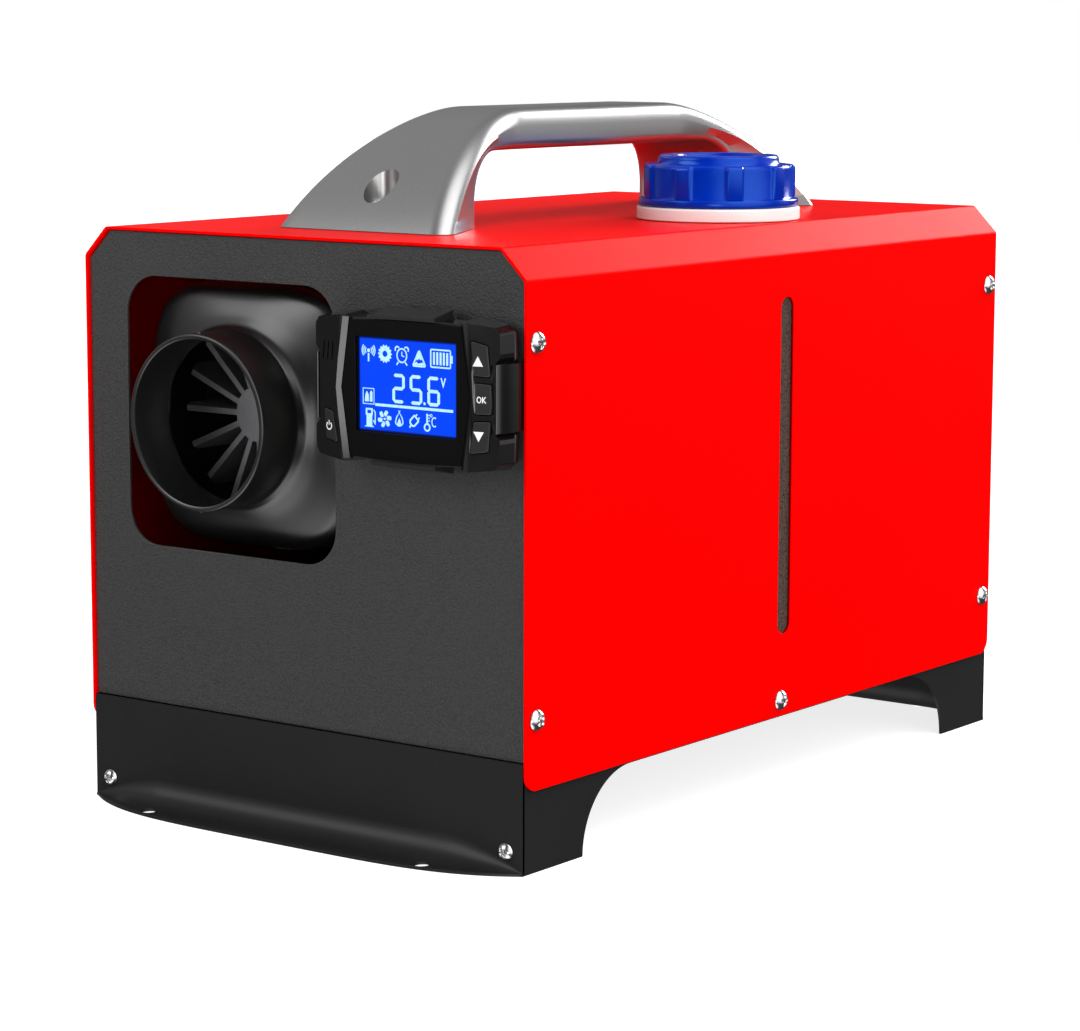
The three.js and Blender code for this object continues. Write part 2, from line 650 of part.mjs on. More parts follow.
function casingHalf(upper) {
  const half = casingSide / 2;
  const ring = cut(
    alongY(roundedRectangle(ductX - half, ductZ - half, ductX + half, ductZ + half, casingRound),
      casingFront, casingRear),
    alongY(roundedRectangle(ductX - half + casingWall, ductZ - half + casingWall,
      ductX + half - casingWall, ductZ + half - casingWall, casingRound - casingWall),
    casingFront - 1, casingRear + 1),
  );
  const wide = [ductX - 70, ductX + 70, casingFront - 1, casingRear + 1];
  const keep = upper ? box(...wide, ductZ + gap / 2, ductZ + 70) : box(...wide, ductZ - 70, ductZ - gap / 2);
  const ports = [exhaustY, intakeY].map((y) =>
    rod(casingPort, casingLow - 5, casingLow + 10, 16, 'z', ductX, y, 0));
  const fuel = rod(burnerInlet.hole, casingLow - 5, casingLow + 25, 8, 'z', burnerInlet.x, burnerInlet.y, 0);
  return upper ? ring.intersect(keep) : cut(ring.intersect(keep), ...ports, fuel);
}

// Outline of the outlet hood at one place: a circle that spreads to the rounded square of the casing.
function hoodRing(y, size, squareness) {
  const ring = [];
  for (let i = 0; i < 32; i += 1) {
    const angle = (i / 32) * Math.PI * 2;
    const c = Math.cos(angle);
    const s = Math.sin(angle);
    const power = 2 + squareness * 2;
    const reach = size / (Math.abs(c) ** power + Math.abs(s) ** power) ** (1 / power);
    ring.push(new THREE.Vector3(ductX + reach * c, y, ductZ + reach * s));
  }
  return ring;
}

function outletHood() {
  const half = casingSide / 2;
  const flare = hoodFlare.map(([y, spread]) => [y, tubeRadius + (half - tubeRadius) * spread, spread]);
  const end = [casingFront - gap, half, 1];
  const outside = [[tubeRim, tubeRadius - rimRoll, 0], [tubeRim + 0.8, tubeRadius, 0], ...flare, end];
  const within = flare.map(([y, size, square]) => [y + hoodLag * square, size - tubeWall, square]);
  const bore = tubeRadius - tubeWall;
  const inside = [[tubeRim, bore + rimRoll, 0], [tubeRim + 0.8, bore, 0], ...within,
    [end[0], half - tubeWall, 1]].reverse();
  return loft([...outside, ...inside].map(([y, size, square]) => hoodRing(y, size, square)), true);
}

function heatExchanger() {
  const core = turned(exchangerCore, 24, 'y', ductX, 0, ductZ);
  const envelope = turned(finEnvelope, 32, 'y', ductX, 0, ductZ);
  const { count, front, rear, reach, thick } = fin;
  const fins = [];
  for (let turn = 0; turn < count; turn += 1) {
    const plate = box(0, reach, front, rear, -thick / 2, thick / 2).rotate([0, (turn * 360) / count, 0]);
    fins.push(plate.translate(ductX, 0, ductZ).intersect(envelope));
  }
  const port = rod(exhaustPort, casingLow - gasket.thick + 0.1, ductZ - 20, 16, 'z', ductX, exhaustY, 0);
  return cut(
    join(core, ...fins, port),
    rod(chamber.r, chamber.front, chamber.rear, 20, 'y', ductX, 0, ductZ),
    rod(pipeBore, casingLow - 5, ductZ, 12, 'z', ductX, exhaustY, 0),
  );
}

function burner() {
  const { r, bore, front, rear, flange, flangeFront, rearFace } = flame;
  return cut(
    join(tube(r, bore, front, rear, 20, 'y', ductX, 0, ductZ),
      rod(flange, flangeFront, rearFace, 24, 'y', ductX, 0, ductZ)),
    rod(bore, front - 1, rear + 3, 20, 'y', ductX, 0, ductZ),
    rod(glow.hole, ductZ + glow.low, ductZ + glow.high, 10, 'z', ductX, glow.y, 0),
    rod(shaftHole.burner, rear - 11, rearFace + 1, 12, 'y', ductX, 0, ductZ),
  );
}

function glowPlug() {
  return turned(glowProfile, 10, 'z', ductX, glow.y, ductZ);
}

function blowerHousing() {
  const { front, rear, r, room, wall, port, portBore, portTop } = blower;
  const stub = rod(port, casingLow - gasket.thick + 0.1, ductZ - portTop, 16, 'z', ductX, intakeY, 0);
  return cut(
    join(rod(r, front, rear, 24, 'y', ductX, 0, ductZ), stub),
    rod(room, front + wall, rear + 1, 24, 'y', ductX, 0, ductZ),
    rod(shaftHole.blower, front - 1, rear, 12, 'y', ductX, 0, ductZ),
    rod(portBore, casingLow - 5, ductZ - portTop, 12, 'z', ductX, intakeY, 0),
  );
}

function combustionImpeller() {
  const { y0, discEnd, y1, disc, hub, vanes, from, to, half } = impeller;
  const plates = [];
  for (let i = 0; i < vanes; i += 1) {
    plates.push(box(from, to, discEnd - 0.5, y1, -half, half).rotate([0, (i * 360) / vanes, 0]));
  }
  return cut(join(rod(disc, y0, discEnd, 24, 'y', 0, 0, 0), rod(hub, y0, y1, 16, 'y', 0, 0, 0), ...plates),
    rod(shaftHole.impeller, y0 - 4, y1 + 6, 10, 'y', 0, 0, 0)).translate(ductX, 0, ductZ);
}

function fanMotor() {
  return turned(motorProfile, 24, 'y', ductX, 0, ductZ);
}

// Main fan with the motor shaft that also carries the combustion impeller.
function fanWheel() {
  const { blades, from, to, chord, half, pitch, middle } = fan;
  const plates = [];
  for (let i = 0; i < blades; i += 1) {
    plates.push(box(from, to, -chord, chord, -half, half).rotate([pitch, 0, 0])
      .translate(0, middle, 0).rotate([0, (i * 360) / blades, 0]));
  }
  return join(turned(hubProfile, 20, 'y', 0, 0, 0), ...plates).translate(ductX, 0, ductZ);
}

function portHoles(middle) {
  return [
    ...[exhaustY, intakeY].map((y) => rod(portHole, middle - 5, middle + 5, 16, 'z', ductX, y, 0)),
    rod(burnerInlet.hole, middle - 5, middle + 5, 8, 'z', burnerInlet.x, burnerInlet.y, 0),
  ];
}

function heaterBracket() {
  const { half, y0, y1, wall, slotHalf } = cradle;
  const top = casingLow - gasket.thick - 2 * gap;
  const low = trayTop + gap;
  return cut(
    box(ductX - half, ductX + half, y0, y1, low, top),
    box(ductX - half + wall, ductX + half - wall, y0 - 1, y1 + 1, low + wall, top - wall),
    box(ductX - slotHalf, ductX + slotHalf, y0 - 1, y1 + 1, low - 1, low + wall + 0.5),
    ...portHoles(top),
  );
}

function mountingGasket() {
  const { half, y0, y1, round, thick } = gasket;
  const top = casingLow - gap;
  return cut(
    alongZ(roundedRectangle(ductX - half, y0, ductX + half, y1, round), top - thick, top, 3),
    ...portHoles(top),
  );
}

function ventPipe(y) {
  const top = casingLow - gasket.thick - gap;
  return turned([[pipeBore, pipeEnd], [pipeRadius, pipeEnd], [pipeRadius, pipeEnd + 6],
    [pipeRadius + pipeBead, pipeEnd + 7], [pipeRadius, pipeEnd + 8], [pipeRadius, top], [pipeBore, top],
    [pipeBore, pipeEnd]], 20, 'z', ductX, y, 0);
}

function controlUnit() {
  const { half, low, high, round, y0, y1 } = unit;
  return alongY(roundedRectangle(ductX - half, ductZ + low, ductX + half, ductZ + high, round), y0, y1, 3);
}

function dcSocket() {
  const { flange, barrel, bore, depth, boreDepth, rise, lip: rim } = socket;
  const y = panelFace;
  return turned([[0, y - depth], [barrel, y - depth], [barrel, y + gap], [flange, y + gap],
    [flange, y + rise], [bore, y + rim], [bore, y - boreDepth], [0, y - boreDepth]],
  20, 'y', socketPlace.x, 0, socketPlace.z);
}

// ---- controller ----

const mirrorOutline = (half) => {
  const right = [...half, ...[...half].reverse().map(([x, z]) => [x, -z])];
  return [...right, ...[...right].reverse().map(([x, z]) => [-x, z])];
};

const inRemote = (points) => points.map(([x, z]) => [x + remoteX, z + remoteZ]);

// Six-sided outline, widest at mid height; its sides run parallel to the ridges.
function hexagonRing(mid, half, y) {
  const top = mid - ridgeSlant * half;
  return inRemote([[top, half], [mid, 0], [top, -half], [-top, -half], [-mid, 0], [-top, half]])
    .map(([x, z]) => new THREE.Vector3(x, y, z));
}

function remoteRectangle(x, z, halfWidth, halfHeight, y0, y1) {
  return box(remoteX + x - halfWidth, remoteX + x + halfWidth, y0, y1,
    remoteZ + z - halfHeight, remoteZ + z + halfHeight);
}

// Everything behind the flat middle and the two wings that fall back from it.
function behindWings(proud) {
  const wide = remoteEar + 3;
  const edge = remoteFace + (wide - wingFrom) * wingFall - proud;
  const front = remoteFace - proud;
  const outline = polygon([[-wide, remoteBack], [wide, remoteBack], [wide, edge], [wingFrom, front],
    [-wingFrom, front], [-wide, edge]]);
  return alongZ(outline, remoteZ - remoteEar, remoteZ + remoteEar).translate(remoteX, 0, 0);
}

// The same outline moved outwards from its own middle by a margin.
function grow(points, margin) {
  const cx = points.reduce((sum, p) => sum + p[0], 0) / points.length;
  const cz = points.reduce((sum, p) => sum + p[1], 0) / points.length;
  return points.map(([x, z]) => [x + Math.sign(x - cx) * margin, z + Math.sign(z - cz) * margin]);
}

// Open trough between the ridges: two slanted sides down to the lens, then its flat bed. The tabs at
// the top and the bottom stay.
function lensTrough() {
  const beyondEar = remoteOutline[0][1] + 1;
  const tabs = [-1, 1].map((side) =>
    remoteRectangle(0, side * (tab.from + 5), tab.half, 5, tab.front, remoteBack));
  return cut(loft([
    hexagonRing(ridgeMid, beyondEar, remoteFace - 1), hexagonRing(ridgeMid, beyondEar, remoteFace),
    hexagonRing(lens.mid + gap, beyondEar, lens.face), hexagonRing(lens.mid + gap, beyondEar, lens.bed),
  ]), ...tabs);
}

function controllerCase() {
  const outer = alongY(polygon(inRemote(mirrorOutline(remoteOutline))), remoteFace,
    remoteBack - backPlate - gap).intersect(behindWings(0));
  return cut(
    outer,
    lensTrough(),
    remoteRectangle(0, 0, cavity.half, cavity.tall, cavity.front, remoteBack),
    remoteRectangle(lcd.x, lcd.z, lcd.width / 2 + gap, lcd.height / 2 + gap, lens.bed - 1, remoteBack),
    ...Object.values(keys).map((outline) =>
      alongY(polygon(inRemote(grow(outline, key.play))), remoteFace - 1, key.pocketRear)),
  );
}

function controllerBack() {
  return alongY(polygon(inRemote(mirrorOutline(remoteOutline))), remoteBack - backPlate, remoteBack);
}

function controllerLens() {
  return cut(
    loft([hexagonRing(lens.mid, lens.half, lens.face), hexagonRing(lens.mid, lens.half, lens.rear)]),
    remoteRectangle(lcd.x, lcd.z, lcd.width / 2 + lensWindow.sides, lcd.height / 2 + lensWindow.ends,
      lens.face - 1, lens.rear + 1),
  );
}

function lcdPanel() {
  return remoteRectangle(lcd.x, lcd.z, lcd.width / 2, lcd.height / 2, lcd.face, lcd.rear);
}

function circuitBoard() {
  return remoteRectangle(0, 0, board.half, board.tall, board.front, board.rear);
}

function button(outline) {
  return alongY(polygon(inRemote(outline)), remoteFace - key.proud, key.rear)
    .intersect(behindWings(key.proud));
}

// Back plate on the panel with two arms that reach round the waist of the controller.
function controllerBracket() {
  const rear = -panelFace - gap;
  const front = remoteBack + gap;
  const arms = [-1, 1].map((side) => {
    const [x0, x1] = [side * (remoteWaist + clip.play), side * clip.outer].sort((a, b) => a - b);
    const r = (x1 - x0) / 2;
    const profile = new THREE.Shape();
    profile.moveTo(x0, rear);
    profile.lineTo(x1, rear);
    profile.lineTo(x1, clip.front + r);
    profile.absarc((x0 + x1) / 2, clip.front + r, r, 0, -Math.PI, true);
    return alongZ(profile, remoteZ - clip.half, remoteZ + clip.half).translate(remoteX, 0, 0);
  });
  return join(remoteRectangle(0, 0, clip.outer, clip.half, front, rear),
    remoteRectangle(0, 0, clip.padHalf, clip.padTall, front, rear), ...arms);
}

// ---- assembly ----

const red = 0xd80a0a;
const black = 0x1c1d1f;
const steel = 0xb9bcc0;

add('base_tray', baseTray(), 0x2a2b2d, 0.6, 0.3);
add('shell', shell(), red, 0.4, 0.1);
add('front_panel', frontPanel(), 0x3a3c3d, 0.65, 0.2);
add('rear_panel', rearPanel(), 0x3a3c3d, 0.65, 0.2);
add('rear_guard', ringGuard(vent.guard, panelFace + gap, panelFace + gap + vent.guardDepth, vent.wire,
  vent.rings, 20), black, 0.5, 0.1);
add('handle', handle(), 0x9a9c9e, 0.35, 0.6);
add('handle_screw_front', handleScrew(-1), steel, 0.3, 0.9);
add('handle_screw_rear', handleScrew(1), steel, 0.3, 0.9);

for (const [side, sign] of [['right', 1], ['left', -1]]) {
  sideScrews.forEach(([y, z], index) => {
    const screw = domedScrew(screwHead, screwDome, 'x', sign, sign * (halfShell + gap), y, z);
    add(`side_screw_${side}_${index + 1}`, screw, steel, 0.25, 0.9);
  });
}
for (const [end, sign] of [['rear', 1], ['front', -1]]) {
  for (const [side, across] of [['right', 1], ['left', -1]]) {
    const screw = domedScrew(apronScrew.head, apronScrew.dome, 'y', sign, across * apronScrew.x,
      sign * (halfLength + gap), apronScrew.z);
    add(`apron_screw_${end}_${side}`, screw, steel, 0.25, 0.9);
  }
}

add('fuel_tank', fuelTank(), 0xe9e6dc, 0.5, 0);
add('filler_collar', fillerCollar(), 0xf0e6e2, 0.45, 0);
add('fuel_cap', fuelCap(), 0x0a30c8, 0.3, 0);
add('cap_seal', tube(seal.outer, seal.inner, seal.z0, seal.z1, 24, 'z', fillerX, fillerY, 0), black, 0.8, 0);
add('fuel_window', box(sightStrip.x0, sightStrip.x1, slot.y - sightStrip.half, slot.y + sightStrip.half,
  sightStrip.z0, sightStrip.z1), 0x241a16, 0.8, 0);
add('tank_union', tankUnion(), black, 0.5, 0);
add('fuel_hose_tank', fuelHoseTank(), 0x2f6f3a, 0.5, 0);
add('fuel_filter', fuelFilter(), 0xd8dcc8, 0.3, 0);
add('fuel_pump', fuelPump(), steel, 0.35, 0.8);
add('pump_bracket', pumpBracket(), black, 0.8, 0);
add('fuel_hose_pump', fuelHosePump(), 0x2f6f3a, 0.5, 0);

add('lower_casing', casingHalf(false), black, 0.6, 0);
add('upper_casing', casingHalf(true), black, 0.6, 0);
add('outlet_hood', outletHood(), black, 0.45, 0);
add('heat_exchanger', heatExchanger(), 0x9b9d9f, 0.5, 0.8);
add('burner', burner(), 0x8d8a86, 0.5, 0.8);
add('glow_plug', glowPlug(), steel, 0.3, 0.9);
add('blower_housing', blowerHousing(), 0x9b9d9f, 0.5, 0.8);
add('combustion_impeller', combustionImpeller(), 0x8f9194, 0.4, 0.7);
add('fan_motor', fanMotor(), 0x5e6062, 0.4, 0.8);
add('fan_wheel', fanWheel(), black, 0.5, 0);
add('intake_grille', ringGuard(grille.r, grille.y0, grille.y1, grille.wire, grille.rings, 18), black, 0.6,
  0);
add('control_unit', controlUnit(), 0x1d3f8f, 0.5, 0);
add('heater_bracket', heaterBracket(), 0x6d7073, 0.5, 0.7);
add('mounting_gasket', mountingGasket(), 0x2c2c2c, 0.9, 0);
add('exhaust_pipe', ventPipe(exhaustY), steel, 0.4, 0.9);
add('air_intake_pipe', ventPipe(intakeY), 0x303234, 0.6, 0.1);
add('dc_socket', dcSocket(), black, 0.5, 0);

add('controller_bracket', controllerBracket(), black, 0.35, 0);
add('controller_back', controllerBack(), black, 0.4, 0);
add('controller_case', controllerCase(), 0x202123, 0.35, 0);
add('controller_lens', controllerLens(), 0x050506, 0.05, 0);
add('lcd_panel', lcdPanel(), 0x0046ff, 0.2, 0);
add('circuit_board', circuitBoard(), 0x1d6b3a, 0.5, 0.1);
for (const [name, outline] of Object.entries(keys)) {
  add(name, button(outline), 0x242527, 0.45, 0);
}

export default heater;
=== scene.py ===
import math

import bmesh
import bpy
import numpy as np
from mathutils import Matrix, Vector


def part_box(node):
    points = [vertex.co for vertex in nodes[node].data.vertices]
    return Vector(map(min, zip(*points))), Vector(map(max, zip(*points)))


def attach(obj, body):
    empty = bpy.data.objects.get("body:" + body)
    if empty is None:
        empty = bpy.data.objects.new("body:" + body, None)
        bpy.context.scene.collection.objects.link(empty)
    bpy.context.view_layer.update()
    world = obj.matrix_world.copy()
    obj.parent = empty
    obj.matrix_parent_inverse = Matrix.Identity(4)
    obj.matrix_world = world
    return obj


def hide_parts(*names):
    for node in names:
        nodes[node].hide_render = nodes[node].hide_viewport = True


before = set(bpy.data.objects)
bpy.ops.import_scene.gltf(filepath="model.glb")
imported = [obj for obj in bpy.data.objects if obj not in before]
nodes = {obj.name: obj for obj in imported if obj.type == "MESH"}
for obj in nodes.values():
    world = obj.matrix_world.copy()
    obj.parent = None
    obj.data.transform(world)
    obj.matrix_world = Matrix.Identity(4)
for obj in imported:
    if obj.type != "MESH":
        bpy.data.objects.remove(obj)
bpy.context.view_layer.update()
millimetre = 0.001
pole = 0.0005  # radius at which a turned profile stops short of its axis, so that it closes there


def nodeBox(node):
    # lowest and highest corner of a node of the frame, in millimetres
    low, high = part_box(node)
    return np.array(low) / millimetre, np.array(high) / millimetre


def roundPath(corners, radii, steps=8, closed=True):
    # every corner becomes an arc that touches both of its sides
    corners = np.asarray(corners, float)
    radii = np.broadcast_to(radii, len(corners))
    share = np.linspace(0, 1, steps + 1)[:, None]
    points = []
    for i, here in enumerate(corners):
        if radii[i] == 0 or (not closed and i in (0, len(corners) - 1)):
            points.append(here[None])
            continue
        back = corners[i - 1] - here
        ahead = corners[(i + 1) % len(corners)] - here
        back, ahead = back / np.linalg.norm(back), ahead / np.linalg.norm(ahead)
        half = math.acos(np.clip(back @ ahead, -1, 1)) / 2
        sweep = math.pi - 2 * half
        middle = back + ahead
        centre = here + middle / np.linalg.norm(middle) * radii[i] / math.sin(half)
        start = here + back * radii[i] / math.tan(half) - centre
        end = here + ahead * radii[i] / math.tan(half) - centre
        arc = start * np.sin((1 - share) * sweep) + end * np.sin(share * sweep)
        points.append(centre + arc / math.sin(sweep))
    return np.concatenate(points)


def inset(path, distance, closed=True):
    # a path moved to its left by mitred normals, which is inwards when it runs anticlockwise
    step = np.roll(path, -1, 0) - path
    if not closed:
        step[-1] = step[-2]
    normal = np.stack([-step[:, 1], step[:, 0]], 1)
    normal /= np.linalg.norm(normal, axis=1)[:, None]
    before = np.roll(normal, 1, 0)
    if not closed:
        before[0] = normal[0]
    mitre = normal + before
    mitre /= np.linalg.norm(mitre, axis=1)[:, None]
    return path + mitre * distance / np.clip((mitre * normal).sum(1), 0.3, 1)[:, None]


def mirrorFour(quarter):
    # the outline whose upper right quarter is given, from the top down, run clockwise and turned round
    quarter = np.asarray(quarter, float)
    right = np.concatenate([quarter, quarter[::-1] * [1, -1]])
    return np.concatenate([right, right[::-1] * [-1, 1]])[::-1]


def roundedBox(centre, size, radius, steps=10):
    x, z = centre
    w, h = size[0] / 2, size[1] / 2
    return roundPath([[x + w, z - h], [x + w, z + h], [x - w, z + h], [x - w, z - h]], radius, steps)


def ringOf(centre, radius, count=64):
    angle = np.linspace(0, 2 * math.pi, count, endpoint=False)
    return np.stack([centre[0] + radius * np.cos(angle), centre[1] + radius * np.sin(angle)], 1)


def bezier(controls, count):
    t = np.linspace(0, 1, count)[:, None]
    a, b, c, d = np.asarray(controls, float)
    return a * (1 - t) ** 3 + 3 * b * t * (1 - t) ** 2 + 3 * c * t * t * (1 - t) + d * t ** 3


def evenly(path, count):
    # the same path with points at equal lengths along it
    along = np.concatenate([[0], np.cumsum(np.linalg.norm(np.diff(path, axis=0), axis=1))])
    at = np.linspace(0, along[-1], count)
    return np.stack([np.interp(at, along, path[:, k]) for k in range(path.shape[1])], 1)


def skin(grid, closeRows=False):
    # quads over a grid of rings; rings close on themselves, and an open stack gets a face at each end
    rows, columns = grid.shape[:2]
    points = grid.reshape(-1, 3)
    i = np.arange(rows if closeRows else rows - 1)[:, None]
    j = np.arange(columns)[None, :]
    below, beside = (i + 1) % rows, (j + 1) % columns
    corners = np.broadcast_arrays(i * columns + j, i * columns + beside, below * columns + beside,
                                  below * columns + j)
    quads = np.stack(corners, -1).reshape(-1, 4)
    ends = [] if closeRows else [np.arange(columns)[::-1], np.arange(columns) + (rows - 1) * columns]
    fans = [quads[:, [0, 1, 2]], quads[:, [0, 2, 3]]]
    fans += [np.stack([np.full(columns - 2, e[0]), e[1:-1], e[2:]], 1) for e in ends]
    a, b, c = np.moveaxis(points[np.concatenate(fans)], 1, 0)
    turn = 1 if (a * np.cross(b, c)).sum() > 0 else -1
    return points, [face[::turn].tolist() for face in [*quads, *ends]]


def makePiece(name, *parts, sharp=32):
    points, faces, start = [], [], 0
    for partPoints, partFaces in parts:
        points.append(partPoints)
        faces += [[k + start for k in face] for face in partFaces]
        start += len(partPoints)
    mesh = bpy.data.meshes.new(name)
    mesh.from_pydata((np.concatenate(points) * millimetre).tolist(), [], faces)
    work = bmesh.new()
    work.from_mesh(mesh)
    bmesh.ops.remove_doubles(work, verts=work.verts, dist=2e-6)
    work.to_mesh(mesh)
    work.free()
    mesh.shade_smooth()
    mesh.set_sharp_from_angle(angle=math.radians(sharp))
    piece = bpy.data.objects.new(name, mesh)
    bpy.context.scene.collection.objects.link(piece)
    return piece


def lathe(profile, centre, axis="z", count=96):
    # a profile of (radius, height) turned round an axis through the centre
    profile = np.asarray(profile, float)
    angle = np.linspace(0, 2 * math.pi, count, endpoint=False)
    radius, height = profile[:, 0, None], profile[:, 1, None] + 0 * angle
    u, v = radius * np.cos(angle), radius * np.sin(angle)
    order = {"z": (u, v, height), "y": (u, height, v), "x": (height, u, v)}[axis]
    closed = profile[0, 0] > 0.001
    return skin(np.stack(order, -1) + np.asarray(centre, float), closeRows=closed)


def prism(outline, axis, low, high):
    # an outline pulled along an axis; it is drawn in the other two axes, in the order x, y, z
    heights = np.array([low, high])[:, None] + 0 * outline[:, 0]
    u, v = [outline[:, k] + 0 * heights for k in (0, 1)]
    order = {"z": (u, v, heights), "y": (u, heights, v), "x": (heights, u, v)}[axis]
    return skin(np.stack(order, -1))


def slab(low, high):
    (x0, y0, z0), (x1, y1, z1) = low, high
    return prism(np.array([[x1, y0], [x1, y1], [x0, y1], [x0, y0]], float), "z", z0, z1)


def roundedPlate(outline, back, front, edge, steps=4):
    # a plate drawn in x and z with its front edge rolled over by a quarter circle
    share = np.linspace(0, math.pi / 2, steps + 1)
    rings = [(0, back)] + [(edge * (1 - math.cos(t)), front + edge * (1 - math.sin(t))) for t in share]
    layers = [np.insert(inset(outline, away), 1, y, 1) for away, y in rings]
    return skin(np.array(layers))


def framedPlate(outer, inner, centre, face, thick, edge, steps=3):
    # a plate with one opening: rays from the opening's centre meet both outlines, and the section
    # between them, with both front edges rolled over, is carried round
    spokes = np.concatenate([np.linspace(-math.pi, math.pi, 288, endpoint=False),
                             np.arctan2(*(outer - centre).T[::-1])])
    angle = np.unique(spokes.round(5))
    way = np.stack([np.cos(angle), np.sin(angle)], 1)

    def reach(outline):
        # how far each ray runs to the outline
        a = outline - centre
        d = np.roll(a, -1, 0) - a
        bottom = way[:, None, 0] * d[None, :, 1] - way[:, None, 1] * d[None, :, 0]
        with np.errstate(divide="ignore", invalid="ignore"):
            far = (a[None, :, 0] * d[None, :, 1] - a[None, :, 1] * d[None, :, 0]) / bottom
            part = (a[None, :, 0] * way[:, None, 1] - a[None, :, 1] * way[:, None, 0]) / bottom
        far[~((part > -1e-6) & (part < 1 + 1e-6) & (far > 0))] = np.inf
        return far.min(1)

    far, near = reach(outer), reach(inner)
    turn = np.linspace(0, math.pi / 2, steps + 1)
    roll = [(edge * (1 - math.cos(t)), edge * (1 - math.sin(t))) for t in turn]
    rings = [(near, thick)] + [(near + a, b) for a, b in roll]
    rings += [(far - a, b) for a, b in roll[::-1]] + [(far, thick)]
    layers = [np.stack([centre[0] + r * way[:, 0], face + y + 0 * r, centre[1] + r * way[:, 1]], 1)
              for r, y in rings]
    return skin(np.array(layers), closeRows=True)


def applyModifiers(piece):
    graph = bpy.context.evaluated_depsgraph_get()
    done = bpy.data.meshes.new_from_object(piece.evaluated_get(graph))
    piece.modifiers.clear()
    piece.data = done


def bore(piece, *cutters):
    # takes each cutter's space out of the piece
    tools = [makePiece("cutter", cutter) for cutter in cutters]
    for tool in tools:
        hole = piece.modifiers.new("hole", "BOOLEAN")
        hole.operation, hole.solver, hole.object = "DIFFERENCE", "EXACT", tool
    applyModifiers(piece)
    for tool in tools:
        bpy.data.objects.remove(tool)


def joinPieces(name, *pieces):
    # one piece out of several, each left as its own closed shell
    mesh = bpy.data.meshes.new(name)
    work = bmesh.new()
    for piece in pieces:
        work.from_mesh(piece.data)
        bpy.data.objects.remove(piece)
    work.to_mesh(mesh)
    work.free()
    whole = bpy.data.objects.new(name, mesh)
    bpy.context.scene.collection.objects.link(whole)
    return whole


def softenEdges(piece, width, segments=2, angle=38):
    # rolls the sharp edges over and keeps the flat faces flat
    piece.data.shade_smooth()
    roll = piece.modifiers.new("edges", "BEVEL")
    roll.width, roll.segments = width * millimetre, segments
    roll.limit_method, roll.angle_limit = "ANGLE", math.radians(angle)
    piece.modifiers.new("normals", "WEIGHTED_NORMAL").keep_sharp = True


def keepFlat(piece, angle=30):
    # smooth shading that leaves the flat faces flat
    piece.data.shade_smooth()
    piece.data.set_sharp_from_angle(angle=math.radians(angle))
    piece.modifiers.new("normals", "WEIGHTED_NORMAL").keep_sharp = True


def softCopy(node, width):
    # a copy of a node of the frame with its triangles merged into faces and its edges rolled over
    piece = bpy.data.objects.new(node + "_finished", nodes[node].data.copy())
    bpy.context.scene.collection.objects.link(piece)
    work = bmesh.new()
    work.from_mesh(piece.data)
    bmesh.ops.remove_doubles(work, verts=work.verts, dist=5e-6)
    bmesh.ops.dissolve_limit(work, angle_limit=math.radians(1), verts=work.verts, edges=work.edges)
    work.to_mesh(piece.data)
    work.free()
    softenEdges(piece, width)
    return piece


def settle(piece, material, slotName, body, *replaced):
    piece.data.materials.clear()
    piece.data.materials.append(material)
    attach(piece, body)
    if replaced:
        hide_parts(*replaced)
    return piece


class Signal:
    # a number in a material: sums and products written in Python become its Math nodes
    def __init__(self, graph, socket):
        self.graph, self.socket = graph, socket

    def maths(self, operation, first, second):
        return self.graph.add("ShaderNodeMath", {"operation": operation}, {0: first, 1: second})

    def __add__(self, other):
        return self.maths("ADD", self, other)

    def __radd__(self, other):
        return self.maths("ADD", other, self)

    def __sub__(self, other):
        return self.maths("SUBTRACT", self, other)

    def __rsub__(self, other):
        return self.maths("SUBTRACT", other, self)

    def __mul__(self, other):
        return self.maths("MULTIPLY", self, other)

    def __rmul__(self, other):
        return self.maths("MULTIPLY", other, self)

    def __pow__(self, other):
        return self.maths("POWER", self, other)


class Graph:
    # a tree of shader nodes
    def __init__(self, owner):
        owner.use_nodes = True
        self.tree = owner.node_tree

    def add(self, kind, settings, inputs, output=0):
        made = self.tree.nodes.new(kind)
        for name, value in settings.items():
            setattr(made, name, value)
        for name, value in inputs.items():
            self.feed(made.inputs[name], value)
        return Signal(self, made.outputs[output])

    def feed(self, socket, value):
        if isinstance(value, Signal):
            self.tree.links.new(value.socket, socket)
        else:
            socket.default_value = value

    def band(self, value, low, high, first=0.0, last=1.0, kind="LINEAR"):
        # a value's stretch from low to high spread over first to last, and held outside it
        return self.add("ShaderNodeMapRange", {"clamp": True, "interpolation_type": kind}, {
            "Value": value, "From Min": low, "From Max": high, "To Min": first, "To Max": last})


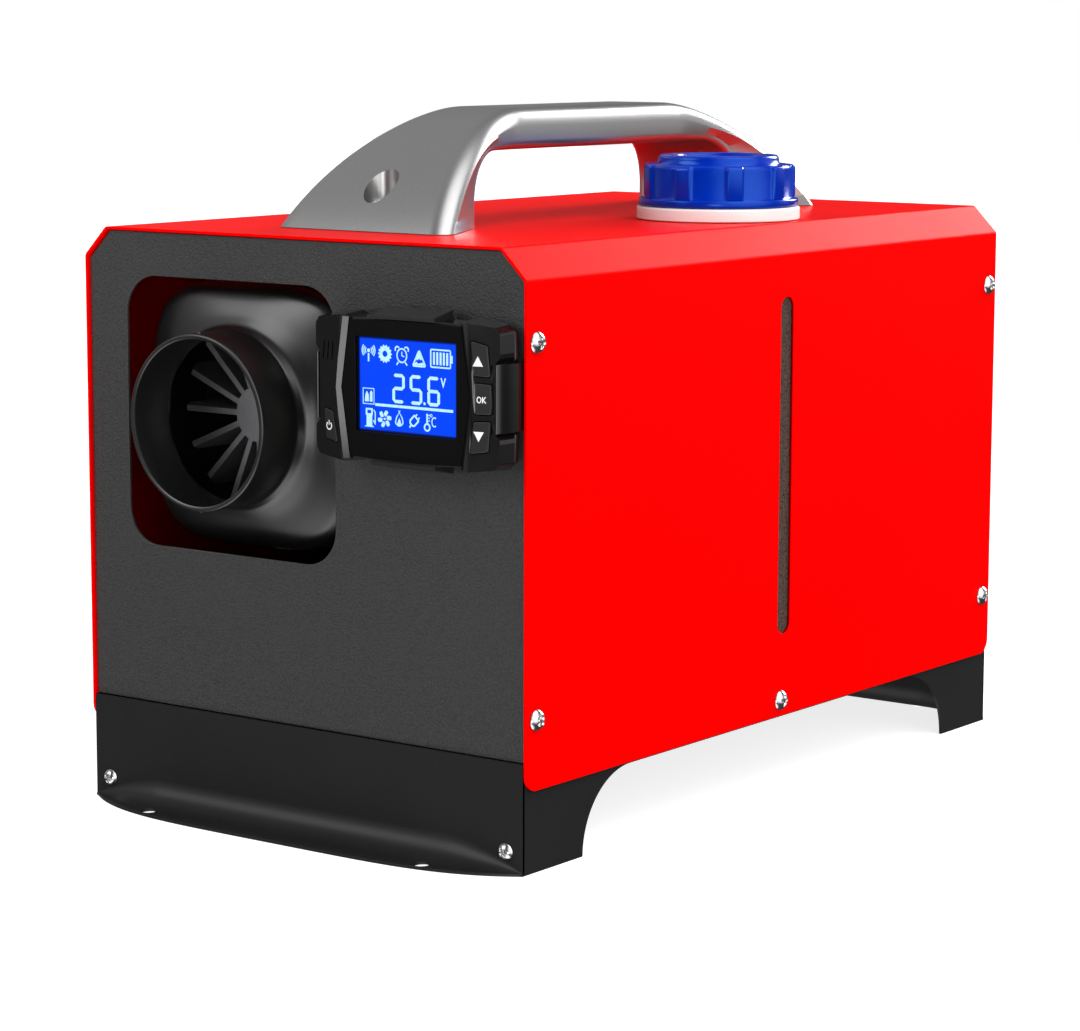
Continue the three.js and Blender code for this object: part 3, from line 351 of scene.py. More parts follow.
class Paint(Graph):
    # a material round one Principled shader; fixed numbers are set on the shader's own sockets
    def __init__(self, name, **fixed):
        self.material = bpy.data.materials.new(name)
        super().__init__(self.material)
        self.shader = self.tree.nodes["Principled BSDF"]
        for socket, value in fixed.items():
            self.shader.inputs[socket.replace("_", " ")].default_value = value
        self.place = self.add("ShaderNodeTexCoord", {}, {}, "Object")

    def axis(self, k):
        # distance along x, y or z, in metres
        return self.add("ShaderNodeSeparateXYZ", {}, {"Vector": self.place}, k)

    def noise(self, scale, detail=2.0, rough=0.5):
        return self.add("ShaderNodeTexNoise", {}, {
            "Vector": self.place, "Scale": scale, "Detail": detail, "Roughness": rough})

    def cells(self, scale):
        return self.add("ShaderNodeTexVoronoi", {"feature": "SMOOTH_F1"}, {
            "Vector": self.place, "Scale": scale, "Smoothness": 0.6})

    def mix(self, mask, dark, light):
        return self.add("ShaderNodeMix", {"data_type": "RGBA"}, {0: mask, 6: dark, 7: light}, 2)

    def color(self, mask, dark, light):
        self.feed(self.shader.inputs["Base Color"], self.mix(mask, (*dark, 1), (*light, 1)))

    def rough(self, mask, low, high):
        self.feed(self.shader.inputs["Roughness"], self.band(mask, 0, 1, low, high))

    def bump(self, height, distance, strength=1.0):
        # distance is the relief's depth in millimetres
        self.feed(self.shader.inputs["Normal"], self.add("ShaderNodeBump", {}, {
            "Strength": strength, "Distance": distance * millimetre, "Height": height}))


def makeRedPaint():
    # smooth powder coat: a faint orange peel and a hardly visible drift of tone; the inner side of the
    # side walls is painted dark red, as painted shade for the dark inside the case
    paint = Paint("redPaint", Specular_IOR_Level=0.015)
    drift = paint.noise(9.0)
    peel = paint.noise(700.0, 1.0)
    low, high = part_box("shell")
    skinDeep, roofStart, edgeBand = 0.0003, 0.23, 0.002
    across = paint.axis(0).maths("ABSOLUTE", paint.axis(0), 0)
    # painted shade: this mask picks the inner faces of the side walls, below the roof and clear of the
    # front edge
    inside = paint.band(across, high[0] - 0.0005, high[0] - skinDeep, 1, 0)
    inside = inside * paint.band(paint.axis(2), roofStart - 0.002, roofStart, 1, 0)
    inside = inside * paint.band(paint.axis(1), low[1] + edgeBand, low[1] + edgeBand + 0.001)
    outer = paint.mix(paint.band(drift, 0.3, 0.7), (0.84, 0.0, 0.0, 1), (0.9, 0.0, 0.0, 1))
    # the dark red on the masked inner faces is painted shade, not a different coat
    paint.feed(paint.shader.inputs["Base Color"], paint.mix(inside, outer, (0.2, 0.0, 0.0, 1)))
    paint.rough(drift, 0.26, 0.36)
    paint.bump(peel, 0.02, 0.4)
    return paint.material


def makeCharcoalPaint():
    # grained coat of the end panels: pale rounded grains about a millimetre across in a darker net
    paint = Paint("charcoalPaint", Specular_IOR_Level=0.7)
    grain = paint.cells(1250.0)
    fine = paint.noise(2200.0, 2.0, 0.5)
    relief = (1 - grain) * 0.8 + fine * 0.3
    paint.color(paint.band(relief, 0.4, 0.9), (0.016, 0.016, 0.016), (0.034, 0.035, 0.034))
    paint.rough(fine, 0.38, 0.5)
    paint.bump(relief, 0.13, 1.0)
    return paint.material


def makeBlackPaint():
    # finer coat of the base tray
    paint = Paint("blackPaint", Specular_IOR_Level=0.22)
    fine = paint.noise(1300.0, 3.0, 0.6)
    drift = paint.noise(14.0)
    tone = paint.band(fine * 0.7 + drift * 0.3, 0.3, 0.7)
    paint.color(tone, (0.01, 0.01, 0.01), (0.016, 0.016, 0.016))
    paint.rough(drift, 0.3, 0.4)
    paint.bump(fine, 0.05, 0.6)
    return paint.material


def makeSilverPaint():
    # silver lacquer on the cast handle, with a very fine metallic speckle
    paint = Paint("silverPaint", Metallic=0.95, Specular_IOR_Level=0.5)
    speck = paint.noise(2600.0, 1.0)
    drift = paint.noise(22.0)
    paint.color(paint.band(speck, 0.3, 0.7), (0.39, 0.39, 0.39), (0.47, 0.47, 0.47))
    paint.rough(drift, 0.28, 0.36)
    paint.bump(speck, 0.012, 0.4)
    return paint.material


def makeMetal(name, dark, light, low, high, scale, relief):
    # bare or plated metal: tone and gloss drift together, and a fine relief takes the edge off
    paint = Paint(name, Metallic=1.0)
    drift = paint.noise(scale * 0.1, 3.0)
    fine = paint.noise(scale, 3.0)
    paint.color(paint.band(drift, 0.3, 0.7), dark, light)
    paint.rough(fine, low, high)
    paint.bump(fine, relief, 0.5)
    return paint.material


def makePlastic(name, dark, light, low, high, scale=900.0, relief=0.03, **fixed):
    # moulded plastic or rubber: fine spark-eroded grain and a slow drift of tone
    paint = Paint(name, **fixed)
    drift = paint.noise(scale * 0.03, 2.0)
    grain = paint.noise(scale, 3.0, 0.6)
    paint.color(paint.band(drift, 0.3, 0.7), dark, light)
    paint.rough(grain, low, high)
    paint.bump(grain, relief, 0.6)
    return paint.material


def makeSightStrip():
    # coarse dark strip behind the slot: brown grains on black
    paint = Paint("sightStrip", Specular_IOR_Level=0.4)
    grain = paint.cells(1100.0)
    fine = paint.noise(1400.0, 3.0)
    relief = (1 - grain) * 0.6 + fine * 0.6
    paint.color(paint.band(relief, 0.4, 0.9), (0.008, 0.005, 0.004), (0.14, 0.085, 0.065))
    paint.rough(fine, 0.5, 0.7)
    paint.bump(relief, 0.2, 0.9)
    return paint.material


def makeDisplayGlow():
    # backlit panel: its light drifts a little, and dies away just outside the display's own edges
    paint = Paint("lcdGlow", Roughness=0.3, Specular_IOR_Level=0.1, Emission_Strength=1.0)
    paint.color(paint.noise(60.0), (0.0, 0.004, 0.05), (0.0, 0.005, 0.07))
    low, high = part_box("lcd_panel")
    within, beyond = 0.0001, 0.0009  # the light fades from just inside the edge to just outside it
    shine = paint.band(paint.noise(45.0), 0.2, 0.8, 0.86, 1.0)
    for k in (0, 2):
        shine = shine * paint.band(paint.axis(k), low[k] - beyond, low[k] + within) ** 2
        shine = shine * paint.band(paint.axis(k), high[k] - within, high[k] + beyond, 1, 0) ** 2
    glow = paint.mix(shine, (0, 0, 0, 1), (0.0, 0.062, 1.0, 1))
    paint.feed(paint.shader.inputs["Emission Color"], glow)
    return paint.material


def makeSignGlow():
    # pale signs of the display, a little uneven like their mask
    paint = Paint("iconGlow", Roughness=0.4, Specular_IOR_Level=0.1, Emission_Strength=1.0)
    paint.color(paint.noise(300.0), (0.1, 0.16, 0.2), (0.12, 0.18, 0.22))
    drift = paint.band(paint.noise(500.0), 0.3, 0.7)
    glow = paint.mix(drift, (0.33, 0.68, 0.95, 1), (0.5, 0.82, 1.0, 1))
    paint.feed(paint.shader.inputs["Emission Color"], glow)
    return paint.material


redPaint = makeRedPaint()
charcoalPaint = makeCharcoalPaint()
blackPaint = makeBlackPaint()
silverPaint = makeSilverPaint()
screwMetal = makeMetal("screwMetal", (0.5, 0.5, 0.51), (0.66, 0.66, 0.67), 0.14, 0.24, 900.0, 0.01)
plateSteel = makeMetal("plateSteel", (0.42, 0.43, 0.44), (0.56, 0.56, 0.57), 0.28, 0.45, 700.0, 0.02)
castAluminium = makeMetal("castAluminium", (0.3, 0.3, 0.31), (0.42, 0.42, 0.43), 0.45, 0.62, 500.0, 0.12)
blackPlastic = makePlastic("blackPlastic", (0.009, 0.009, 0.01), (0.016, 0.016, 0.017), 0.42, 0.55,
                           Specular_IOR_Level=0.35)
hoodPlastic = makePlastic("hoodPlastic", (0.004, 0.004, 0.004), (0.006, 0.006, 0.006), 0.26, 0.34,
                          700.0, 0.012, Specular_IOR_Level=0.7)
controllerPlastic = makePlastic("controllerPlastic", (0.004, 0.004, 0.004), (0.006, 0.006, 0.006),
                                0.14, 0.2, 1200.0, 0.008, Specular_IOR_Level=0.55)
lensGloss = makePlastic("lensGloss", (0.002, 0.002, 0.002), (0.003, 0.003, 0.003), 0.06, 0.12,
                        400.0, 0.002, Specular_IOR_Level=0.08)
buttonRubber = makePlastic("buttonRubber", (0.01, 0.01, 0.01), (0.016, 0.015, 0.015), 0.34, 0.46,
                           1300.0, 0.02, Specular_IOR_Level=0.4)
legendPaint = makePlastic("legendPaint", (0.85, 0.85, 0.85), (0.95, 0.95, 0.95), 0.4, 0.5, 900.0, 0.01)
capPlastic = makePlastic("capPlastic", (0.0, 0.02, 0.36), (0.0, 0.027, 0.44), 0.14, 0.22, 500.0, 0.01,
                         Specular_IOR_Level=0.7, Specular_Tint=(0.15, 0.45, 1, 1))
collarPlastic = makePlastic("collarPlastic", (0.8, 0.78, 0.76), (0.88, 0.86, 0.84),
                            0.3, 0.42, 600.0, 0.02)
tankPlastic = makePlastic("tankPlastic", (0.7, 0.68, 0.6), (0.8, 0.78, 0.71), 0.35, 0.5, 400.0, 0.06)
blackRubber = makePlastic("blackRubber", (0.012, 0.012, 0.012), (0.024, 0.024, 0.024),
                          0.6, 0.8, 800.0, 0.05)
greenHose = makePlastic("greenHose", (0.02, 0.1, 0.04), (0.035, 0.15, 0.06), 0.3, 0.45, 500.0, 0.03)
filterPlastic = makePlastic("filterPlastic", (0.55, 0.58, 0.45), (0.68, 0.71, 0.58),
                            0.2, 0.35, 400.0, 0.03)
blueUnit = makePlastic("blueUnit", (0.015, 0.05, 0.22), (0.025, 0.08, 0.32), 0.4, 0.55, 700.0, 0.04)
greenBoard = makePlastic("greenBoard", (0.01, 0.1, 0.04), (0.02, 0.17, 0.07), 0.3, 0.5, 700.0, 0.03)
sightStrip = makeSightStrip()
lcdGlow = makeDisplayGlow()
iconGlow = makeSignGlow()
print("materials made")


case = {
    "sheet": 1.2,
    "chamfer": (12.3, 12.4),
    "bend": 2.2,  # outer radius of the roof's bends
    "cornerRound": 7,
    "edge": 0.3,
    "slotMiddle": 2, "slotFrom": 70.6, "slotTo": 219, "slotWidth": 10,
    "fillerHole": 32,
    "panelFlange": 13, "panelRound": 1.5, "panelEdge": 0.3,
    "cutReach": 8,  # how far the shell's cutters reach to either side of the sheet
}
shellLow, shellHigh = nodeBox("shell")
capLow, capHigh = nodeBox("fuel_cap")
hoodLow, hoodHigh = nodeBox("outlet_hood")
filler = (capLow + capHigh)[:2] / 2
duct = ((hoodLow + hoodHigh) / 2)[[0, 2]]


def roofCorners(halfWidth, top, foot):
    cx, cz = case["chamfer"]
    return [[halfWidth, foot], [halfWidth, top - cz], [halfWidth - cx, top],
            [cx - halfWidth, top], [-halfWidth, top - cz], [-halfWidth, foot]]


def makeShell():
    # the bent section of one sheet, from foot to foot over the roof, carried along the case; near its
    # feet the sheet is shorter by the arc of its rounded corners
    halfWidth, halfLength = shellHigh[0], shellHigh[1]
    top, foot, r = shellHigh[2], shellLow[2], case["cornerRound"]
    corners = roofCorners(halfWidth, top, foot)
    path = roundPath(corners, [0, *[case["bend"]] * 4, 0], 6, closed=False)
    rise = foot + r * (1 - np.cos(np.linspace(0, math.pi / 2, 9)))
    rightFoot = np.stack([np.full(9, halfWidth), rise], 1)
    path = np.concatenate([rightFoot, path[1:-1], rightFoot[::-1] * [-1, 1]])
    inside = inset(path, case["sheet"], closed=False)
    short = r - np.sqrt(np.maximum(r * r - np.maximum(foot + r - path[:, 1], 0) ** 2, 0))
    half = halfLength - short
    grid = np.stack([np.stack([side[:, 0], sign * half, side[:, 1]], 1)
                     for side, sign in ((path, -1), (path, 1), (inside, 1), (inside, -1))], 1)
    piece = makePiece("shell_sheet", skin(grid))
    wide, slotFrom, slotTo = case["slotWidth"], case["slotFrom"], case["slotTo"]
    slot = roundedBox((case["slotMiddle"], (slotFrom + slotTo) / 2), (wide, slotTo - slotFrom),
                      wide / 2 - 0.01, 12)
    reach = case["cutReach"]
    bore(piece, prism(slot, "x", halfWidth - reach, halfWidth + reach),
         prism(ringOf(filler, case["fillerHole"], 72), "z", top - reach, top + reach))
    softenEdges(piece, case["edge"], 3, 50)
    return settle(piece, redPaint, "red_powder_coat", "heater_body", "shell")


def makePanel(name, node, sign, opening, centre):
    # flat end panel with one opening, and flanges folded inwards along its sides and foot
    low, high = nodeBox(node)
    sheet, flange = case["sheet"], case["panelFlange"]
    outer = roundPath(roofCorners(high[0], high[2], low[2]), [0.5, *[case["panelRound"]] * 4, 0.5], 3)
    face = -max(abs(low[1]), abs(high[1]))
    parts = [framedPlate(outer, opening, np.asarray(centre, float), face, sheet, case["panelEdge"])]
    tabTop = high[2] - case["chamfer"][1] - 4
    for side in (-1, 1):
        x = sorted((side * high[0], side * (high[0] - sheet)))
        parts.append(slab((x[0], face + sheet, low[2]), (x[1], face + flange, tabTop)))
    parts.append(slab((low[0], face + sheet, low[2]), (high[0], face + flange, low[2] + sheet)))
    if sign < 0:
        parts = [(points * [-1, -1, 1], faces) for points, faces in parts]
    piece = makePiece(name, *parts)
    keepFlat(piece, 32)
    return piece


window = {"side": 115.4, "round": 16}
rear = {"vent": 43, "socket": (70, 84), "socketHole": 9, "cut": (175, 200)}

makeShell()
frontPanel = makePanel("front_panel_sheet", "front_panel", 1,
                       roundedBox(duct, (window["side"],) * 2, window["round"], 16), duct)
settle(frontPanel, charcoalPaint, "charcoal_powder_coat", "heater_body", "front_panel")
behind = (-duct[0], duct[1])
rearPanel = makePanel("rear_panel_sheet", "rear_panel", -1, ringOf(behind, rear["vent"], 96), behind)
bore(rearPanel, prism(ringOf(rear["socket"], rear["socketHole"], 48), "y", *rear["cut"]))
keepFlat(rearPanel)
settle(rearPanel, charcoalPaint, "charcoal_powder_coat", "heater_body", "rear_panel")
print("case made")


tray = {
    "sheet": 1.2, "foldRadius": 1.4, "lap": 9, "lipEdge": 0.25,
    "archFoot": 146.3, "archCrown": 112.7, "archHeight": 33.1,
    "lipDepth": 19.5, "lipPower": 4.5, "lipBend": 11.0, "lipHole": (75, 199, 3.5),
    "pipeHole": 14,
}
trayHigh = nodeBox("base_tray")[1]


def makeApron(sign):
    # section from the deck's edge down the apron and out into the floor flange, carried across the
    # heater; the flange's reach falls off towards both sides as a high power of the distance
    across = trayHigh[0] * np.sin(np.linspace(-math.pi / 2, math.pi / 2, 121))
    reach = np.maximum(tray["lipDepth"] * (1 - (np.abs(across) / trayHigh[0]) ** tray["lipPower"]), 0.35)
    bend = np.minimum(tray["lipBend"], reach * 0.7)
    skirt, top, t, fold = shellHigh[1], trayHigh[2], tray["sheet"], tray["foldRadius"]
    quarter = np.linspace(0, math.pi / 2, 10)
    one = np.ones_like(across)
    out, height = [], []

    def put(y, z):
        out.append(y * one)
        height.append(z * one)

    put(skirt - tray["lap"], top)
    for a in quarter[::3]:
        put(skirt - fold + fold * math.sin(a), top - fold + fold * math.cos(a))
    for a in quarter:
        put(skirt + bend * (1 - math.cos(a)), t + bend * (1 - math.sin(a)))
    edge = tray["lipEdge"]
    put(skirt + reach - edge, t)
    put(skirt + reach, t - edge)
    put(skirt + reach, edge)
    put(skirt + reach - edge, 0)
    for a in quarter[::-1]:
        r = bend + t
        put(skirt + bend - r * math.cos(a), t + bend - r * math.sin(a))
    put(skirt - t, top - t)
    put(skirt - tray["lap"], top - t)
    y, z = -np.array(out).T, np.array(height).T
    grid = np.stack([across[:, None] + 0 * y, y * sign, z], -1)
    return skin(grid)


def makeDeck():
    # channel section, two side walls and the deck, carried along the heater; the walls' lower edge
    # follows the arch, a quarter ellipse at each end of a straight crown
    half, top, t, fold = trayHigh[0], trayHigh[2], tray["sheet"], tray["foldRadius"]
    foot, crown, rise = tray["archFoot"], tray["archCrown"], tray["archHeight"]
    turn = np.linspace(0, math.pi / 2, 25)
    endY = shellHigh[1] - 0.02
    along = np.concatenate([[endY, foot + 0.01], crown + (foot - crown) * np.cos(turn)])
    low = np.concatenate([[0, 0], rise * np.sin(turn)])
    along, low = np.concatenate([-along, along[::-1]]), np.concatenate([low, low[::-1]])
    arc = np.linspace(0, math.pi / 2, 5)
    ring = [(half, low)]
    ring += [(half - fold + fold * math.cos(a), top - fold + fold * math.sin(a)) for a in arc]
    ring += [(-x, z) for x, z in ring[::-1]]
    inner = [(half - t, low), (half - t, top - t)]
    ring += [(-x, z) for x, z in inner] + inner[::-1]
    x = np.stack([x + 0 * along for x, z in ring], 1)
    z = np.stack([z + 0 * along for x, z in ring], 1)
    return skin(np.stack([x, along[:, None] + 0 * x, z], -1))


def makeTray():
    x, y, r = tray["lipHole"]
    pieces = []
    for end in (-1, 1):
        pieces.append(makePiece("apron", makeApron(-end)))
        bore(pieces[-1], *[prism(ringOf((side * x, end * y), r, 32), "z", -2, 5) for side in (-1, 1)])
    holes = []
    for pipe in ("exhaust_pipe", "air_intake_pipe"):
        low, high = nodeBox(pipe)
        middle = (low + high)[:2] / 2
        holes.append(prism(ringOf(middle, tray["pipeHole"], 48), "z", trayHigh[2] - 6, trayHigh[2] + 4))
    pieces.append(makePiece("deck", makeDeck()))
    bore(pieces[-1], *holes)
    piece = joinPieces("tray_sheet", *pieces)
    keepFlat(piece, 32)
    return settle(piece, blackPaint, "black_powder_coat", "heater_body", "base_tray")


makeTray()
print("tray made")


grip = {
    "top": 300, "bottom": 282, "halfWidth": 22, "footHalfWidth": 46,
    "footOuter": 145.5, "footInner": 100.5, "halfLength": 56, "fillet": 22,
    "rampStart": (22, 30), "rampEnd": -86,  # the ramp's two inner control points
    "flareFrom": 62, "flarePower": 1.5, "outerRound": 8, "innerRound": 4,
    "wellOffset": 128.7, "wellRadius": 7.5, "wellFloor": 257, "screwHole": 3.5,
}
handleLow, handleHigh = nodeBox("handle")


def makeHandle():
    # a rounded section between the outer and the inner edge of the side view, from the front foot
    # over the grip to the rear foot; it splays out to the feet by a power of the distance
    base, middle = handleLow[2], (handleLow[1] + handleHigh[1]) / 2
    halfLength, fillet = grip["halfLength"], grip["fillet"]
    lean, lift = grip["rampStart"]
    outer = bezier([[-grip["footOuter"], base], [lean - grip["footOuter"], base + lift],
                    [grip["rampEnd"], grip["top"]], [-halfLength, grip["top"]]], 200)
    inner = roundPath([[-grip["footInner"], base], [-grip["footInner"], grip["bottom"]],
                       [-halfLength, grip["bottom"]]], [0, fillet, 0], 24, closed=False)
    outer, inner = evenly(outer, 56), evenly(inner, 56)
    outer = np.concatenate([outer, outer[::-1] * [-1, 1]])
    inner = np.concatenate([inner, inner[::-1] * [-1, 1]])

    def halfWidth(y):
        narrow, wide, start = grip["halfWidth"], grip["footHalfWidth"], grip["flareFrom"]
        splay = np.maximum(0, np.abs(y) - start) / (grip["footOuter"] - start)
        return narrow + (wide - narrow) * splay ** grip["flarePower"]

    across = outer - inner
    height = np.linalg.norm(across, axis=1)
    up, mid = across / height[:, None], (outer + inner) / 2
    arc = np.radians(np.linspace(0, 90, 9))
    rows = []
    for quarter, (sx, sv, r) in enumerate([(1, 1, grip["outerRound"]), (-1, 1, grip["outerRound"]),
                                           (-1, -1, grip["innerRound"]), (1, -1, grip["innerRound"])]):
        angle = arc + quarter * math.pi / 2
        width = halfWidth(outer[:, 0] if sv > 0 else inner[:, 0])
        x = sx * (width[:, None] - r) + r * np.cos(angle)
        v = sv * (height[:, None] / 2 - r) + r * np.sin(angle)
        rows.append(np.stack([x, middle + mid[:, :1] + up[:, :1] * v, mid[:, 1:] + up[:, 1:] * v], -1))
    piece = makePiece("handle_casting", skin(np.concatenate(rows, 1)))
    wells, above = [], grip["top"] + 20
    for end in (-1, 1):
        at = (0, middle + end * grip["wellOffset"])
        wells += [prism(ringOf(at, grip["wellRadius"], 48), "z", grip["wellFloor"], above),
                  prism(ringOf(at, grip["screwHole"], 32), "z", base - 5, above)]
    bore(piece, *wells)
    piece.data.shade_smooth()
    piece.data.set_sharp_from_angle(angle=math.radians(40))
    return settle(piece, silverPaint, "silver_handle", "heater_body", "handle")


makeHandle()
print("handle made")


cap = {"ribs": 9, "phase": -44, "ribWidth": 8, "ribHeight": 1.55, "radius": 32.6, "flange": 35.6,
       "shoulder": 274.5, "disc": 27, "bore": 28.5, "boreTop": 271, "dish": 17.5, "dishGrows": 5.5}


def smooth(value, low, high):
    t = np.clip((value - low) / (high - low), 0, 1)
    return t * t * (3 - 2 * t)


def makeCap():
    # turned body whose radius swells at each rib, with a raised disc on top; the disc's dish has a
    # stepped spiral edge, two steps to a turn
    low, top, radius = capLow[2], capHigh[2], cap["radius"]
    angle = np.linspace(0, 2 * math.pi, 720, endpoint=False)
    pitch = 2 * math.pi / cap["ribs"]
    away = np.abs((angle - math.radians(cap["phase"]) + pitch / 2) % pitch - pitch / 2) * radius
    rib = 1 - smooth(away, cap["ribWidth"] / 2 - 1.1, cap["ribWidth"] / 2 + 0.5)
    shoulder, disc, flange = cap["shoulder"], cap["disc"], cap["flange"]
    spiral = (angle / math.pi) % 1
    dish = cap["dish"] + cap["dishGrows"] * spiral * (1 - smooth(spiral, 0.93, 1.0))
    turn = np.linspace(0, math.pi / 2, 6)

    def turned(rows):
        return np.array([np.stack([r * np.cos(angle), r * np.sin(angle), z + 0 * angle], 1)
                         for r, z in rows])

    rows = [(cap["bore"], low, 0), (flange - 0.8, low, 0)]
    rows += [(flange - 0.9 + 0.9 * math.sin(a), low + 1.2 - 1.2 * math.cos(a), 0) for a in turn[1:]]
    rows += [(flange - 0.9 + 0.9 * math.cos(a), low + 2.4 + 0.9 * math.sin(a), 0) for a in turn]
    rows += [(radius + 0.5, low + 3.4, 0.4), (radius, low + 4.2, 1), (radius, shoulder - 2.2, 1)]
    rows += [(radius - 1.8 + 1.8 * math.cos(a), shoulder - 1.8 + 1.8 * math.sin(a), 1 - 0.12 * k)
             for k, a in enumerate(turn[1:])]
    rows += [(disc + 1.2, shoulder, 0), (disc + 0.5, shoulder + 0.2, 0), (disc, shoulder + 0.9, 0)]
    rows += [(disc - 0.2 - 1.6 + 1.6 * math.cos(a), top - 1.6 + 1.6 * math.sin(a), 0) for a in turn]
    outside = turned([(r + share * cap["ribHeight"] * rib, z) for r, z, share in rows])
    bowl = turned([(dish + 0.9, top), (dish + 0.35, top - 0.25), (dish, top - 0.9),
                   (dish - 0.4, top - 1.5), (dish - 1.2, top - 1.8), (12, top - 1.9), (pole, top - 1.9)])
    hollow = turned([(pole, cap["boreTop"]), (cap["bore"], cap["boreTop"]), (cap["bore"], low + 0.5)])
    shape = np.concatenate([hollow, outside, bowl]) + [filler[0], filler[1], 0]
    piece = makePiece("cap_moulding", skin(shape), sharp=38)
    return settle(piece, capPlastic, "cap_plastic", "cap", "fuel_cap")


def makeCollar():
    low, high = nodeBox("filler_collar")
    r, base, top = (high[0] - low[0]) / 2, shellHigh[2] + 0.3, high[2]
    turn = np.linspace(0, math.pi / 2, 6)
    profile = [(29, low[2]), (31, low[2]), (31, base), (r - 0.4, base), (r, base + 0.4)]
    profile += [(r - 1.0 + 1.0 * math.cos(a), top - 1.0 + 1.0 * math.sin(a)) for a in turn]
    profile += [(29.6, top), (29, top - 0.6)]
    piece = makePiece("collar_moulding", lathe(profile, (*filler, 0), "z", 128))
    return settle(piece, collarPlastic, "collar_plastic", "heater_body", "filler_collar")


makeCap()
makeCollar()
print("filler made")


outlet = {
    "tubeRadius": 37, "wall": 2.4, "rimRoll": 0.8, "pipRadius": 0.9, "pipBehindRim": 3.2,
    # how far the hood has spread from the tube to the casing's outline, against the depth
    "depths": [-185, -182, -179.4, -177, -174.6, -172, -169.5],
    "spread": [0, 0.09, 0.3, 0.58, 0.83, 0.96, 1],
    "lag": 1.6,  # the inner wall of the flare lies this much further back
}


def makeHood():
    # rings from the tube's rim to the casing: superellipses whose power grows from 2, a circle, to 4,
    # a rounded square, while their size follows the table of the spread, smoothed by a moving mean
    half, rim, back = (hoodHigh[0] - hoodLow[0]) / 2, hoodLow[1], hoodHigh[1]
    radius, wall = outlet["tubeRadius"], outlet["wall"]
    angle = np.linspace(0, 2 * math.pi, 160, endpoint=False)
    c, s = np.cos(angle), np.sin(angle)

    def ring(y, size, square):
        power = 2 + 2 * square
        reach = size / (np.abs(c) ** power + np.abs(s) ** power) ** (1 / power)
        return np.stack([duct[0] + reach * c, y + 0 * c, duct[1] + reach * s], 1)

    depths = np.linspace(outlet["depths"][0] - 1.5, outlet["depths"][-1] + 1.5, 40)
    knots = np.interp(np.linspace(depths[0], depths[-1], 200), outlet["depths"], outlet["spread"])
    eased = np.convolve(np.pad(knots, 12, "edge"), np.hanning(27)[1:-1] / np.hanning(27).sum(), "valid")
    spread = np.interp(depths, np.linspace(depths[0], depths[-1], 200), eased)
    flare = list(zip(depths, radius + (half - radius) * spread, spread))
    roll = np.linspace(0, math.pi / 2, 5)
    lip = outlet["rimRoll"]
    outside = [(rim + lip * (1 - math.sin(a)), radius - lip * (1 - math.cos(a)), 0) for a in roll[::-1]]
    rings = [ring(*row) for row in outside + flare + [(back, half, 1)]]
    inside = [(back, half - wall, 1)]
    inside += [(y + outlet["lag"] * square, size - wall, square) for y, size, square in flare[::-1]]
    inside += [(rim + 1, radius - wall, 0), (rim + 0.3, radius - wall + 0.3, 0),
               (rim, radius - wall + 0.8, 0)]
    rings += [ring(*row) for row in inside]
    parts = [skin(np.array(rings), closeRows=True)]
    pip = outlet["pipRadius"]
    dome = [(pip * math.cos(a), pip * math.sin(a)) for a in np.linspace(0, math.pi / 2, 6)]
    for side in (-1, 1):
        profile = [(pole, side * -0.5), (pip, side * -0.5)]
        profile += [(max(r, pole), side * h) for r, h in dome]
        place = (duct[0], rim + outlet["pipBehindRim"], duct[1] + side * radius)
        parts.append(lathe(profile, place, "z", 24))
    piece = makePiece("outlet_moulding", *parts)
    return settle(piece, hoodPlastic, "hood_plastic", "heater_body", "outlet_hood")


makeHood()
print("outlet made")


screw = {"side": (4.5, 2.4), "apron": (3.75, 2.0), "crossArm": 0.46, "crossWidth": 0.11}


def domedHead(radius, dome, count=48):
    # polar grid over a domed head: a cross recess sinks where a point lies near either arm
    angle = np.linspace(0, 2 * math.pi, count, endpoint=False)
    r = radius * np.sin(np.linspace(0, math.pi / 2, 22))[::-1]
    u, v = r[:, None] * np.cos(angle), r[:, None] * np.sin(angle)
    height = dome * (1 - (r[:, None] / radius) ** 2.4) ** 0.8 + 0 * u
    arm, width = radius * screw["crossArm"], radius * screw["crossWidth"]
    across = [np.maximum(np.abs(a) - width, 0) + np.maximum(np.abs(b) - arm, 0)
              for a, b in ((u, v), (v, u))]
    recess = 1 - smooth(np.minimum(*across), 0, radius * 0.07)
    height = height - recess * dome * 0.6 * (1 - np.hypot(u, v) / radius)
    top = np.stack([u, v, height], -1)
    foot = np.stack([radius * np.cos(angle), radius * np.sin(angle), 0 * angle - 0.15], 1)
    sunk = foot * [0.5, 0.5, 1]
    return skin(np.concatenate([sunk[None], foot[None], top]))


def placeHead(part, node, outward, roll):
    # turns a head made upwards to face outwards and puts it on the inner end of its node's head
    points, faces = part
    low, high = nodeBox(node)
    axis = int(np.argmax(np.abs(outward)))
    sign = outward[axis]
    c, s = math.cos(roll), math.sin(roll)
    u, v, w = points[:, 0] * c - points[:, 1] * s, points[:, 0] * s + points[:, 1] * c, points[:, 2]
    placed = np.empty_like(points)
    others = [k for k in range(3) if k != axis]
    placed[:, others[0]], placed[:, others[1]], placed[:, axis] = u, v, sign * w
    tip = high[axis] if sign > 0 else low[axis]
    centre = (low + high) / 2
    centre[axis] = tip - sign * points[:, 2].max()
    return skinAgain(placed + centre, faces)


def skinAgain(points, faces):
    # turns the faces round where a mirrored placing has turned them inside out
    a, b, c = [points[[face[k] for face in faces]] for k in range(3)]
    inward = (a * np.cross(b, c)).sum() < (points.mean(0) * np.cross(b - a, c - a)).sum()
    return points, [face[::-1] if inward else face for face in faces]


